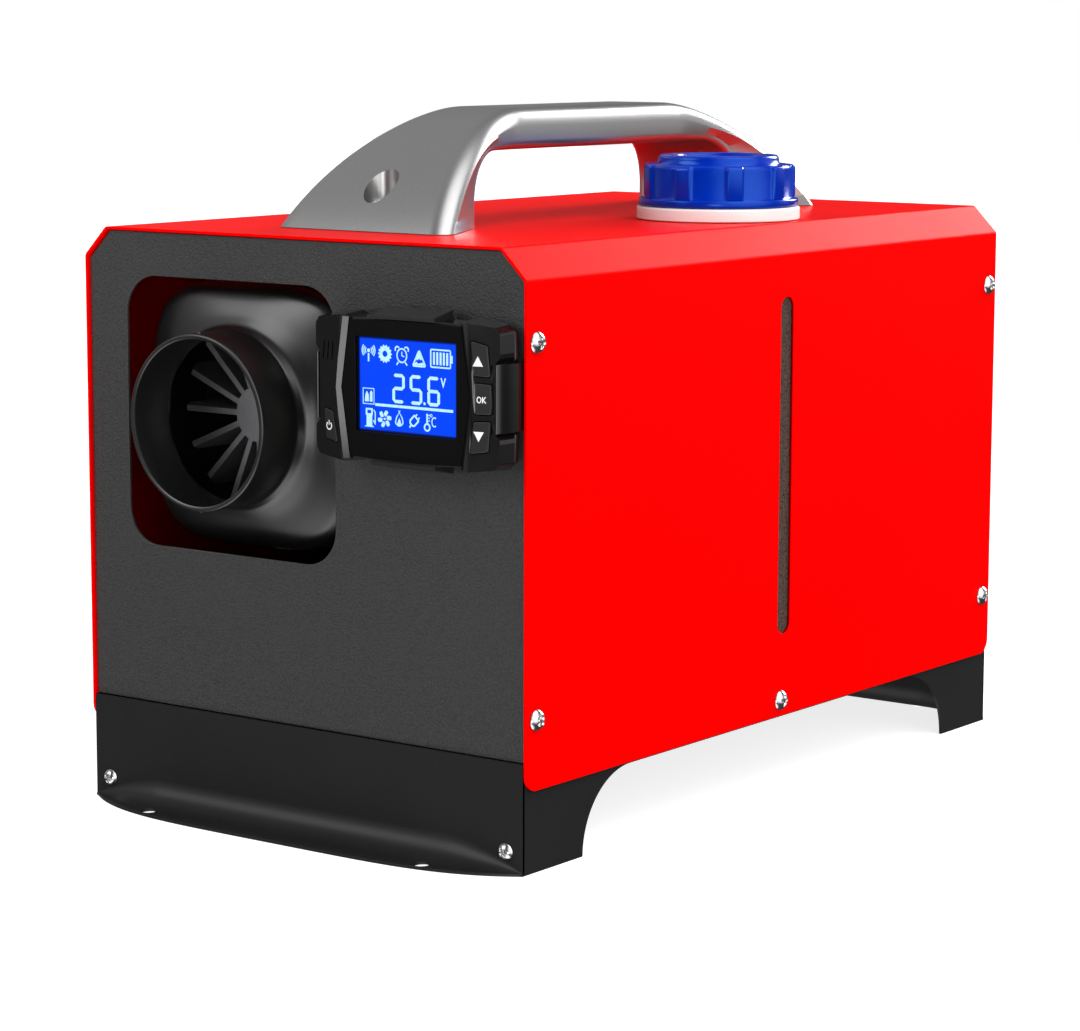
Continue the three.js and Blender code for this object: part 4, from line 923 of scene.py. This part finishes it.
def makeScrews():
    roll = np.random.default_rng(4).uniform(0, math.pi / 2, 14)
    names = [(f"side_screw_{side}_{k}", (sign, 0, 0)) for side, sign in (("right", 1), ("left", -1))
             for k in range(1, 6)]
    names += [(f"apron_screw_{end}_{side}", (0, sign, 0)) for end, sign in (("rear", 1), ("front", -1))
              for side in ("right", "left")]
    for k, (node, outward) in enumerate(names):
        head = domedHead(*screw[node.split("_")[0]])
        piece = makePiece(node + "_head", placeHead(head, node, outward, roll[k]), sharp=50)
        settle(piece, screwMetal, "plated_screw", "heater_body", node)


makeScrews()
print("screws made")


remote = {
    "face": -203.0, "wingFrom": 33, "wingFall": 0.19,
    "outline": [[16.1, 29.9], [16.6, 28.3], [27, 27.8], [29.3, 29.6], [44.4, 27.6], [46.5, 25.0],
                [46.6, 17.6], [46.4, 16.0], [44.3, 13.9]],
    "rounds": [0.6, 0.5, 0.5, 1.2, 1.6, 1.6, 0.7, 0.5, 0.7],
    "ridge": 34.7, "slant": 0.15,
    "lensMid": 32.4, "lensHalf": 28.1, "lensFace": -201.5, "lensBulge": 0.7,
    "bed": -200.2, "troughHalf": 28.5, "frontEdge": 0.9,
    "keyProud": 0.45, "keyGroove": 0.42, "keyRound": 0.7, "keyEdge": 0.28,
    "vent": (-39.0, 14.4), "ventStep": 2.7, "ventHeight": 7.6, "ventWidth": 0.75, "ventLean": 0.9,
    "ventDeep": 1.2, "windowCut": (-205, -180), "keyCut": (-206, -194), "keyBack": -195,
    "screen": (0.2, 1.9), "screenSize": (48.2, 35.9), "screenFace": -199.9,
    "windowMargin": (1.4, 1.0),
    "tabHalf": 16.3, "tabDraft": 2.6, "draft": 0.9,
    "clipHalf": 13.5, "clipRound": 11, "clipInner": 44.7, "clipOuter": 47.3, "clipFront": -201.5,
    "pad": (24, 20), "signRelief": 0.05,
}
keyOutlines = {
    "up": [[34.2, 22.4], [41.2, 20.7], [42.5, 8.6], [35.5, 8.8]],
    "ok": [[36.1, 6], [42.8, 5.6], [43.2, -1.2], [42.9, -6], [36.1, -6.2]],
    "down": [[35.4, -9.2], [42.6, -8.9], [41.6, -20.6], [33.7, -21.8]],
    "power": [[-41.4, -8.9], [-36.3, -10], [-33.2, -22.4], [-40.2, -21]],
}
remoteLow, remoteHigh = nodeBox("controller_case")
remoteMiddle = ((remoteLow + remoteHigh) / 2)[[0, 2]]
remoteRear = nodeBox("controller_back")[1][1]


def wingFace(x, proud=0.0):
    # depth of the controller's front at a distance x from its middle
    fall = remote["wingFall"] * np.maximum(np.abs(x) - remote["wingFrom"], 0)
    return remote["face"] + fall - proud


def onRemote(part):
    points, faces = part
    return points + [remoteMiddle[0], 0, remoteMiddle[1]], faces


def faced(outline, back, proud):
    # an outline in x and z whose front end lies on the wings' sloping face
    outline = np.asarray(outline, float)
    rear = np.insert(outline, 1, back, 1)
    front = np.insert(outline, 1, wingFace(outline[:, 0], proud), 1)
    return onRemote(skin(np.array([rear, front])))


def sixSided(mid, half, y):
    # the pane's outline, drawn at a depth
    top = mid - remote["slant"] * half
    return np.array([[top, y, half], [mid, y, 0], [top, y, -half],
                     [-top, y, -half], [-mid, y, 0], [-top, y, half]])


def mirrorRadii(radii):
    half = list(radii) + list(radii)[::-1]
    return half + half[::-1]


def makeControllerCase():
    # the front outline drawn back to a rear one that grows by the draft, and more at the two tabs;
    # then the wings are planed off, and the trough, the window, the keys' beds and the vents sunk
    outline = roundPath(mirrorFour(remote["outline"]), mirrorRadii(remote["rounds"]), 5)
    face, bed, half = remote["face"], remote["bed"], remote["troughHalf"]
    low, high = remoteLow[1], remoteHigh[1]
    onTab, onSide = np.abs(outline[:, :1]) < remote["tabHalf"], np.abs(outline[:, 1]) < 20
    grown = outline + np.sign(outline) * [0, 1] * np.where(onTab, remote["tabDraft"], remote["draft"])
    grown[onSide] = outline[onSide]
    piece = makePiece("controller_front", onRemote(skin(np.array([
        np.insert(outline, 1, low, 1), np.insert(grown, 1, high, 1)]))))
    wedges = []
    for side in (-1, 1):
        start, end, clear = remote["wingFrom"], 60, face - 5
        fallen = face + (end - start) * remote["wingFall"]
        wedge = np.array([[start, face], [end, fallen], [end, clear], [start, clear]]) * [side, 1]
        wedges.append(onRemote(prism(wedge, "z", -40, 40)))
    levels = [(remote["ridge"], face - 1), (remote["ridge"], face),
              (remote["lensMid"] + 0.2, remote["lensFace"]), (remote["lensMid"] + 0.2, bed)]
    trough = onRemote(skin(np.array([sixSided(mid, half, y) for mid, y in levels])))
    bore(piece, *wedges, trough)
    softenEdges(piece, remote["frontEdge"], 3, 35)
    applyModifiers(piece)
    x, z = remote["screen"]
    w, h = remote["screenSize"]
    opening = roundedBox((x, z), (w + 2.4, h + 2.4), 0.3, 2)
    cutters = [onRemote(prism(opening, "y", *remote["windowCut"]))]
    for points in keyOutlines.values():
        grown = inset(np.array(points)[::-1], -remote["keyGroove"])
        recess = roundPath(grown, remote["keyRound"] + 0.3, 4)
        cutters.append(onRemote(prism(recess, "y", *remote["keyCut"])))
    x, z = remote["vent"]
    tall, wide, lean = remote["ventHeight"] / 2, remote["ventWidth"] / 2, remote["ventLean"] / 2
    for k in (-1, 0, 1):
        at = x + k * remote["ventStep"]
        slit = roundPath([[at - lean + wide, z - tall], [at + lean + wide, z + tall],
                          [at + lean - wide, z + tall], [at - lean - wide, z - tall]], wide * 0.9, 4)
        deep = wingFace(at) + remote["ventDeep"]
        cutters.append(onRemote(prism(slit, "y", remote["keyCut"][0], deep)))
    bore(piece, *cutters)
    keepFlat(piece)
    return settle(piece, controllerPlastic, "controller_plastic", "controller", "controller_case")


def makeLens():
    # glossy six-sided pane with a window for the display; its ends bulge by a parabola
    mid, half, bulge = remote["lensMid"], remote["lensHalf"], remote["lensBulge"]
    top = mid - remote["slant"] * half
    across = np.linspace(-top, top, 25)
    upper = np.stack([across, half - bulge * (across / top) ** 2], 1)
    outline = np.concatenate([[[mid, 0]], upper[::-1], [[-mid, 0]], upper * [1, -1]])
    x, z = remote["screen"]
    margin = remote["windowMargin"]
    size = [remote["screenSize"][k] + 2 * margin[k] for k in (0, 1)]
    inner = roundedBox((x, z), size, 0.5, 4)
    part = framedPlate(outline, inner, np.array([x, z]), remote["lensFace"], 1.0, 0.25)
    piece = makePiece("controller_pane", onRemote(part))
    keepFlat(piece, 32)
    return settle(piece, lensGloss, "lens_gloss", "controller", "controller_lens")


def makeKeys():
    for name, points in keyOutlines.items():
        outline = roundPath(np.array(points)[::-1], remote["keyRound"], 5)
        piece = makePiece(f"key_{name}_cap", faced(outline, remote["keyBack"], remote["keyProud"]))
        softenEdges(piece, remote["keyEdge"], 3, 40)
        settle(piece, buttonRubber, "button_rubber", "key_" + name, "button_" + name)


def stroke(path, width, closed=False):
    # a line of even width along a path; a closed one is returned as its two edges
    path = np.asarray(path, float)
    if closed:
        return inset(path, -width / 2), inset(path, width / 2)
    left, right = inset(path, width / 2, False), inset(path, -width / 2, False)
    return np.concatenate([right, left[::-1]])


def arcPath(centre, radius, start, end, count=24, tall=1.0):
    angle = np.radians(np.linspace(start, end, count))
    return np.stack([centre[0] + radius * np.cos(angle), centre[1] + radius * tall * np.sin(angle)], 1)


def loopOf(centre, radius, count=36, tall=1.0):
    return arcPath(centre, radius, 0, 360 - 360 / count, count, tall)


def leaf(outline, back, front):
    # a thin solid over a flat drawing: a plain outline, or two edges with the space between them filled
    def level(points, y):
        return np.insert(points, 1, y + 0 * points[:, 0], 1)

    if isinstance(outline, tuple):
        outer, inner = outline
        rings = [level(outer, back), level(outer, front), level(inner, front), level(inner, back)]
        return skin(np.array(rings), closeRows=True)
    return skin(np.array([level(outline, back), level(outline, front)]))


def makeLegends():
    # triangles, the two letters of the confirm key and the mains sign, each riding with its key
    drawings = {
        "up": [np.array([[35.2, 12.6], [39.6, 12.6], [37.4, 16.6]])],
        "down": [np.array([[35.5, -12.9], [37.7, -16.8], [39.9, -12.9]])],
        "ok": [stroke(loopOf((37.9, -0.4), 0.85, 24, 1.3), 0.38, True),
               stroke([[39.4, 0.8], [39.4, -1.65]], 0.38),
               stroke([[39.5, -0.5], [40.7, 0.8]], 0.38), stroke([[39.7, -0.35], [40.8, -1.65]], 0.38)],
        "power": [stroke(arcPath((-38.2, -16.0), 1.5, 128, 412, 30), 0.48),
                  stroke([[-38.2, -15.7], [-38.2, -13.8]], 0.48)],
    }
    for name, outlines in drawings.items():
        parts = []
        for outline in outlines:
            points, faces = leaf(outline, 0.0, -remote["signRelief"])
            points[:, 1] += wingFace(points[:, 0], remote["keyProud"] + 0.01)
            parts.append(onRemote((points, faces)))
        piece = makePiece(f"key_{name}_mark", *parts)
        settle(piece, legendPaint, "button_rubber", "key_" + name)


segments = {"a": [[0.14, 2], [0.86, 2]], "b": [[1, 1.88], [1, 1.12]], "c": [[1, 0.88], [1, 0.12]],
            "d": [[0.14, 0], [0.86, 0]], "e": [[0, 0.88], [0, 0.12]], "f": [[0, 1.88], [0, 1.12]],
            "g": [[0.14, 1], [0.86, 1]]}


def turnBy(path, degrees, centre=(0, 0)):
    c, s = math.cos(math.radians(degrees)), math.sin(math.radians(degrees))
    return (np.asarray(path, float) - centre) @ np.array([[c, s], [-s, c]]) + centre


def drawDigit(lit, x, z, width, height, weight):
    # seven bars with pointed ends on a grid one wide and two high
    drawn = []
    for name in lit:
        a, b = np.array(segments[name]) * [width, height / 2] + [x, z]
        way = (b - a) / np.linalg.norm(b - a)
        side = np.array([-way[1], way[0]]) * weight / 2
        tip = way * weight / 2
        drawn.append(np.array([a - tip, a - side, b - side, b + tip, b + side, a + side]))
    return drawn


def slabOutline(x0, z0, x1, z1):
    return np.array([[x1, z0], [x1, z1], [x0, z1], [x0, z0]], float)


def drawIcons():
    # all signs of the display, in millimetres from its lower left corner, x to the right and z up
    signs = []
    signs += [stroke([[4.3, 26.9], [4.3, 30.2]], 0.8), ringOf((4.3, 31.3), 0.75, 20)]
    for r in (1.6, 2.45, 3.3):
        signs += [stroke(arcPath((4.3, 31.3), r, -40, 40, 10), 0.5),
                  stroke(arcPath((4.3, 31.3), r, 140, 220, 10), 0.5)]
    gear, teeth = (12.7, 30.4), 14
    wave = np.radians(np.linspace(0, 360, teeth * 8, endpoint=False))
    reach = 3.25 + 0.33 * np.cos(teeth * wave)
    rim = np.stack([gear[0] + reach * np.cos(wave), gear[1] + reach * 1.03 * np.sin(wave)], 1)
    hole = np.stack([gear[0] + 1.25 * np.cos(wave), gear[1] + 1.25 * np.sin(wave)], 1)
    signs += [(rim, hole)]
    clock = (21.3, 30.2)
    signs += [stroke(loopOf(clock, 2.45, 36, 1.1), 0.6, True),
              stroke([[21.3, 31.8], [21.3, 30.2], [22.5, 29.8]], 0.45)]
    for side in (-1, 1):
        bell = arcPath((21.3 + side * 2.3, 32.6), 1.05, 90 - side * 130, 90 + side * 60, 12)
        signs += [stroke(bell, 0.6),
                  stroke([[21.3 + side * 1.7, 27.6], [21.3 + side * 2.7, 26.4]], 0.6)]
    peak = roundPath([[26.3, 26.2], [33.8, 26.2], [30.05, 33.6]], 0.7, 4)
    signs += [stroke(inset(peak, 0.3), 0.65, True),
              np.array([[28.3, 29.4], [29.2, 28.8], [30.0, 29.6], [30.8, 28.9], [31.7, 29.5],
                        [30.05, 32.9]]),
              np.array([[27.3, 26.9], [32.8, 26.9], [31.9, 28.1], [29.6, 27.5], [28.6, 28.3]])]
    signs += [stroke(roundedBox((40.8, 30.1), (9.8, 6.9), 0.5, 3), 0.65, True),
              slabOutline(46.0, 28.6, 46.8, 31.6)]
    signs += [slabOutline(37.0 + k * 1.65, 27.6, 38.0 + k * 1.65, 32.6) for k in range(5)]
    for lit, x in (("abged", 17.1), ("afgcd", 25.9), ("afgedc", 34.8)):
        signs += drawDigit(lit, x, 11.8, 5.0, 10.4, 1.35)
    signs += [ringOf((32.7, 11.9), 0.6, 16), stroke([[41.0, 22.6], [42.1, 19.5], [43.2, 22.6]], 0.6)]
    signs += [stroke(slabOutline(1.4, 9.9, 7.0, 16.1), 0.35, True), slabOutline(7.6, 9.3, 47.0, 10.4)]
    signs += [roundPath([[2.2, 10.8], [4.4, 10.8], [4.2, 13.6], [3.3, 15.2], [2.5, 13.4]], 0.2, 2),
              roundPath([[4.8, 10.8], [6.2, 10.8], [6.2, 14.6], [5.5, 15.4], [4.9, 14.4]], 0.2, 2)]
    signs += [slabOutline(3.1, 1.1, 6.0, 5.4),
              (slabOutline(2.7, 5.4, 6.3, 8.2), slabOutline(3.5, 6.1, 5.5, 7.5)),
              slabOutline(2.3, 0.7, 6.8, 1.1),
              stroke([[6.5, 3.4], [7.5, 2.2], [7.6, 6.6], [6.8, 7.6]], 0.5)]
    for k in range(6):
        blade = roundPath([[0.9, -0.4], [3.3, -1.3], [3.6, 0.4], [1.6, 1.0]], [0.2, 0.6, 0.7, 0.3], 4)
        signs += [turnBy(blade, 60 * k + 15) + [12.4, 4.4]]
    signs += [ringOf((12.4, 4.4), 0.5, 16)]
    flame = roundPath([[19.9, 1.2], [22.1, 3.2], [21.6, 5.4], [19.9, 8.1], [18.3, 5.6], [17.6, 3.2]],
                      [2.0, 0.9, 1.2, 0.15, 1.2, 0.9], 5)
    core = roundPath([[19.9, 1.7], [21.0, 2.9], [19.9, 5.4], [18.8, 2.9]], [0.6, 0.5, 0.1, 0.5], 4)
    signs += [stroke(inset(flame, 0.25), 0.55, True), core]
    plug = np.array([27.3, 4.5])
    body = roundPath([[-1.9, -1.5], [1.9, -1.5], [1.9, 1.5], [-1.9, 1.5]], [1.2, 0.3, 0.3, 1.2], 4)
    parts = [stroke([[-1.9, 0], [-3.4, -0.3]], 0.7), stroke([[1.9, 0.85], [3.2, 0.85]], 0.6),
             stroke([[1.9, -0.85], [3.2, -0.85]], 0.6)]
    signs += [tuple(turnBy(edge, 45) + plug for edge in stroke(body, 0.75, True))]
    signs += [turnBy(part, 45) + plug for part in parts]
    signs += [stroke(loopOf((34.0, 2.6), 1.35, 24), 0.7, True), stroke([[34.0, 3.9], [34.0, 8.0]], 0.85),
              stroke(loopOf((36.0, 7.4), 0.5, 14), 0.3, True),
              stroke(arcPath((37.6, 4.9), 1.2, 50, 310, 18, 1.5), 0.5)]
    signs += [slabOutline(34.6, 5.0 + k * 1.1, 35.4, 5.4 + k * 1.1) for k in range(3)]
    return signs


def makeDisplay():
    x, z = remote["screen"]
    w, h = remote["screenSize"]
    face = remote["screenFace"]
    plate = roundedPlate(roundedBox((x, z), (w + 2, h + 2), 0.4, 3), face + 1.2, face, 0.05, 1)
    piece = makePiece("lcd_screen", onRemote(plate))
    settle(piece, lcdGlow, "lcd_glass", "controller", "lcd_panel")
    corner = np.array([x - w / 2, z - h / 2])
    parts = []
    for sign in drawIcons():
        placed = tuple(edge + corner for edge in sign) if isinstance(sign, tuple) else sign + corner
        parts.append(onRemote(leaf(placed, face - 0.01, face - remote["signRelief"])))
    settle(makePiece("lcd_signs", *parts), iconGlow, "lcd_glass", "controller")


def makeBracket():
    # pad and plate on the panel, and two arms whose outer sides are rounded like barrels
    rear, front = nodeBox("controller_bracket")[1][1], remoteRear + 0.3
    half, tip = remote["clipHalf"], remote["clipFront"]
    outer, inner = remote["clipOuter"], remote["clipInner"]
    turn, deep = np.linspace(0, math.pi / 2, 12), remote["clipRound"]
    barrel = np.stack([inner + 0.6 + (outer - inner - 0.6) * np.sin(turn),
                       tip + deep * (1 - np.cos(turn))], 1)
    arm = np.concatenate([[[inner, tip + 0.5], [inner + 0.25, tip + 0.08]], barrel,
                          [[outer, rear], [inner, rear]]])
    arms = [onRemote(prism(arm * [sign, 1], "z", -half, half)) for sign in (-1, 1)]
    plate = slab((-inner - 0.5, front, -half), (inner + 0.5, rear, half))
    x, z = remote["pad"]
    pad = slab((-x, front, -z), (x, rear, z))
    piece = makePiece("bracket_moulding", *arms, onRemote(plate), onRemote(pad))
    softenEdges(piece, 0.3, 2, 40)
    return settle(piece, controllerPlastic, "controller_plastic", "heater_body", "controller_bracket")


makeControllerCase()
makeLens()
makeKeys()
makeLegends()
makeDisplay()
makeBracket()
print("controller made")


fittings = {
    "wire": 2.4, "hoops": 4, "hub": 8, "wireRound": 0.9,
    "socketBarrel": 8.6, "socketBore": 7, "socketDeep": 8, "socketRise": 2.5, "socketRound": 0.7,
    "pipeRadius": 12, "pipeBore": 10, "bead": 0.8, "beadHeight": 7,
}


def makeGuard():
    # hoops of wire round a hub, on four spokes
    low, high = nodeBox("rear_guard")
    centre, wire, bend = (low + high) / 2, fittings["wire"], fittings["wireRound"]
    outer, y0, y1 = (high[0] - low[0]) / 2, low[1], high[1]
    place = (centre[0], 0, centre[2])
    parts = []
    for k in range(fittings["hoops"]):
        r = outer - k * (outer - fittings["hub"]) / fittings["hoops"]
        section = roundPath([[r - wire, y0], [r, y0], [r, y1], [r - wire, y1]], bend, 5)
        parts.append(lathe(section, place, "y", 128))
    hub = fittings["hub"]
    section = roundPath([[pole, y0], [hub, y0], [hub, y1], [pole, y1]], [0, bend, bend, 0], 5)
    parts.append(lathe(section, place, "y", 48))
    reach, half = outer - wire / 2, wire / 2
    y0, y1 = y0 + 0.2, y1 - 0.2
    section = roundPath([[half, y0], [half, y1], [-half, y1], [-half, y0]], bend, 5)
    upright = prism(section, "z", -reach, reach)
    across = (upright[0][:, [2, 1, 0]], [face[::-1] for face in upright[1]])
    parts += [(points + place, faces) for points, faces in (upright, across)]
    piece = makePiece("guard_hoops", *parts)
    return settle(piece, blackPlastic, "black_plastic", "heater_body", "rear_guard")


def makeSocket():
    # round inlet for the supply plug: flange, collar and blind bore
    low, high = nodeBox("dc_socket")
    centre, flange = (low + high) / 2, (high[0] - low[0]) / 2
    face = nodeBox("rear_panel")[1][1] + 0.3  # the flange lies on the panel's outer face
    bend, hole = fittings["socketRound"], fittings["socketBore"]
    barrel, rise = fittings["socketBarrel"], fittings["socketRise"]
    floor = face - fittings["socketDeep"]
    corners = [[pole, low[1]], [barrel, low[1]], [barrel, face], [flange, face],
               [flange, face + rise - 0.3], [hole + 1.6, high[1]], [hole, high[1]], [hole, floor],
               [pole, floor]]
    profile = roundPath(corners, [0, 0.5, 0, 0.3, bend, bend, 0.3, 0, 0], 5)
    piece = makePiece("socket_moulding", lathe(profile, (centre[0], 0, centre[2]), "y", 72))
    return settle(piece, blackPlastic, "black_plastic", "heater_body", "dc_socket")


def makePipes():
    # thin pipes with a rolled bead near their open end
    for node in ("exhaust_pipe", "air_intake_pipe"):
        low, high = nodeBox(node)
        centre, r, hole = (low + high) / 2, fittings["pipeRadius"], fittings["pipeBore"]
        at, bead = low[2] + fittings["beadHeight"] - 1, fittings["bead"]
        swell = np.linspace(-math.pi / 2, math.pi / 2, 9)
        profile = [(hole, low[2]), (r - 0.3, low[2]), (r, low[2] + 0.3)]
        profile += [(r + bead * math.cos(a), at + math.sin(a)) for a in swell]
        profile += [(r, high[2]), (hole, high[2])]
        piece = makePiece(node + "_tube", lathe(profile, (*centre[:2], 0), "z", 72))
        settle(piece, plateSteel, "plated_steel", "heater_body", node)


makeGuard()
makeSocket()
makePipes()
print("rear fittings made")


finishes = {
    tankPlastic: ["fuel_tank"],
    blackRubber: ["cap_seal", "pump_bracket", "mounting_gasket"],
    sightStrip: ["fuel_window"],
    greenHose: ["fuel_hose_tank", "fuel_hose_pump"],
    filterPlastic: ["fuel_filter"],
    blueUnit: ["control_unit"],
    greenBoard: ["circuit_board"],
    plateSteel: ["fuel_pump", "glow_plug", "fan_motor", "heater_bracket"],
    castAluminium: ["burner", "blower_housing", "combustion_impeller", "heat_exchanger"],
    blackPlastic: ["tank_union", "lower_casing", "upper_casing", "fan_wheel", "intake_grille"],
    controllerPlastic: ["controller_back"],
    screwMetal: ["handle_screw_front", "handle_screw_rear"],
}
# nodes that show through an opening get rolled edges, this wide; the rest keep their own mesh
softened = {
    "heat_exchanger": 0.35, "lower_casing": 0.4, "upper_casing": 0.4, "fan_wheel": 0.3,
    "intake_grille": 0.3, "heater_bracket": 0.3, "controller_back": 0.5, "handle_screw_front": 0.3,
    "handle_screw_rear": 0.3,
}
slotNames = {castAluminium: "cast_aluminium", blackPlastic: "black_plastic", plateSteel: "plated_steel",
             controllerPlastic: "controller_plastic", screwMetal: "plated_screw"}
bodies = {"fan_wheel": "rotor", "controller_back": "controller"}


def finishNodes():
    for material, names in finishes.items():
        for name in names:
            if name in softened:
                body = bodies.get(name, "heater_body")
                settle(softCopy(name, softened[name]), material, slotNames[material], body, name)
            else:
                for slot in nodes[name].material_slots:
                    slot.material = material


finishNodes()
print("inner pieces finished")


def makeStage():
    # pale floor with a light of its own, so that it stays as white as the backdrop; it throws no
    # light back, because the glow from below is one of the glows
    floor = makePiece("studio_floor", slab((-6000, -6000, -20), (6000, 6000, -0.05)))
    paint = Paint("floorPaint", Roughness=0.9, Specular_IOR_Level=0.0, Emission_Strength=1.0)
    paint.color(paint.noise(2.0), (0.5, 0.5, 0.5), (0.52, 0.52, 0.52))
    paint.shader.inputs["Emission Color"].default_value = (0.8, 0.8, 0.8, 1)
    floor.data.materials.append(paint.material)
    floor.visible_diffuse = floor.visible_glossy = floor.visible_shadow = False


baseLight = 0.06  # from everywhere
# each soft glow round the heater: direction, where it begins and where it is full (both as the cosine
# of the angle from its middle), and its strength
glows = [
    ((0.88, -0.25, 0.38), 0.6, 1.0, 2.4),  # key, from the right
    ((0.35, 0.1, 0.93), 0.85, 0.97, 2.4),  # overhead
    ((0.485, -0.86, -0.15), 0.978, 0.992, 5.0),  # small and low in front, to the right
    ((-0.45, -0.7, 0.55), 0.93, 0.985, 4.0),  # high in front, to the left
    ((-0.53, -0.82, 0.2), 0.89, 0.985, 0.7),  # level in front, to the left
    ((0.06, 0.93, 0.36), 0.956, 0.9945, 16.0),  # small, behind
    ((0.58, 0.79, 0.2), 0.93, 0.985, 0.6),  # behind, to the right
    ((-0.8, 0.1, 0.6), 0.5, 1.0, 0.35),  # fill from the left
    ((0, -0.55, -0.83), 0.75, 0.97, 2.4),  # from the floor in front
]


def makeLight():
    # white backdrop, and round it the soft glows that light the heater
    world = bpy.data.worlds.new("studio")
    bpy.context.scene.world = world
    graph = Graph(world)
    way = graph.add("ShaderNodeTexCoord", {}, {}, "Generated")
    light = baseLight
    for direction, begins, full, strength in glows:
        along = graph.add("ShaderNodeVectorMath", {"operation": "DOT_PRODUCT"}, {
            0: way, 1: np.array(direction) / np.linalg.norm(direction)}, "Value")
        light = graph.band(along, begins, full, 0.0, strength, "SMOOTHSTEP") + light
    backdrop = graph.add("ShaderNodeBackground", {}, {"Color": (1, 1, 1, 1), "Strength": 1.0})
    lighting = graph.add("ShaderNodeBackground", {}, {"Color": (1, 1, 1, 1), "Strength": light})
    seen = graph.add("ShaderNodeLightPath", {}, {}, "Is Camera Ray")
    both = graph.add("ShaderNodeMixShader", {}, {0: seen, 1: lighting, 2: backdrop})
    graph.feed(graph.tree.nodes["World Output"].inputs["Surface"], both)


camera = {
    "place": (883.7402, -1208.3324, 337.8354),
    "right": (0.8026251, 0.5964802, 0.0020592),
    "up": (-0.0904221, 0.1182584, 0.9888573),
    "forward": (-0.5895903, 0.7938679, -0.1488522),
    "lens": 109.93, "sensor": 36,
}


def makeCamera():
    view = bpy.data.cameras.new("photo_view")
    view.lens, view.sensor_width = camera["lens"], camera["sensor"]
    view.clip_start, view.clip_end = 0.05, 50
    holder = bpy.data.objects.new("photo_view", view)
    bpy.context.scene.collection.objects.link(holder)
    turn = np.column_stack([camera["right"], camera["up"], -np.array(camera["forward"])])
    holder.matrix_world = Matrix(turn.tolist()).to_4x4()
    holder.location = np.array(camera["place"]) * millimetre
    bpy.context.scene.camera = holder


makeStage()
makeLight()
makeCamera()
bpy.context.scene.view_settings.view_transform = "Standard"
print("studio made")
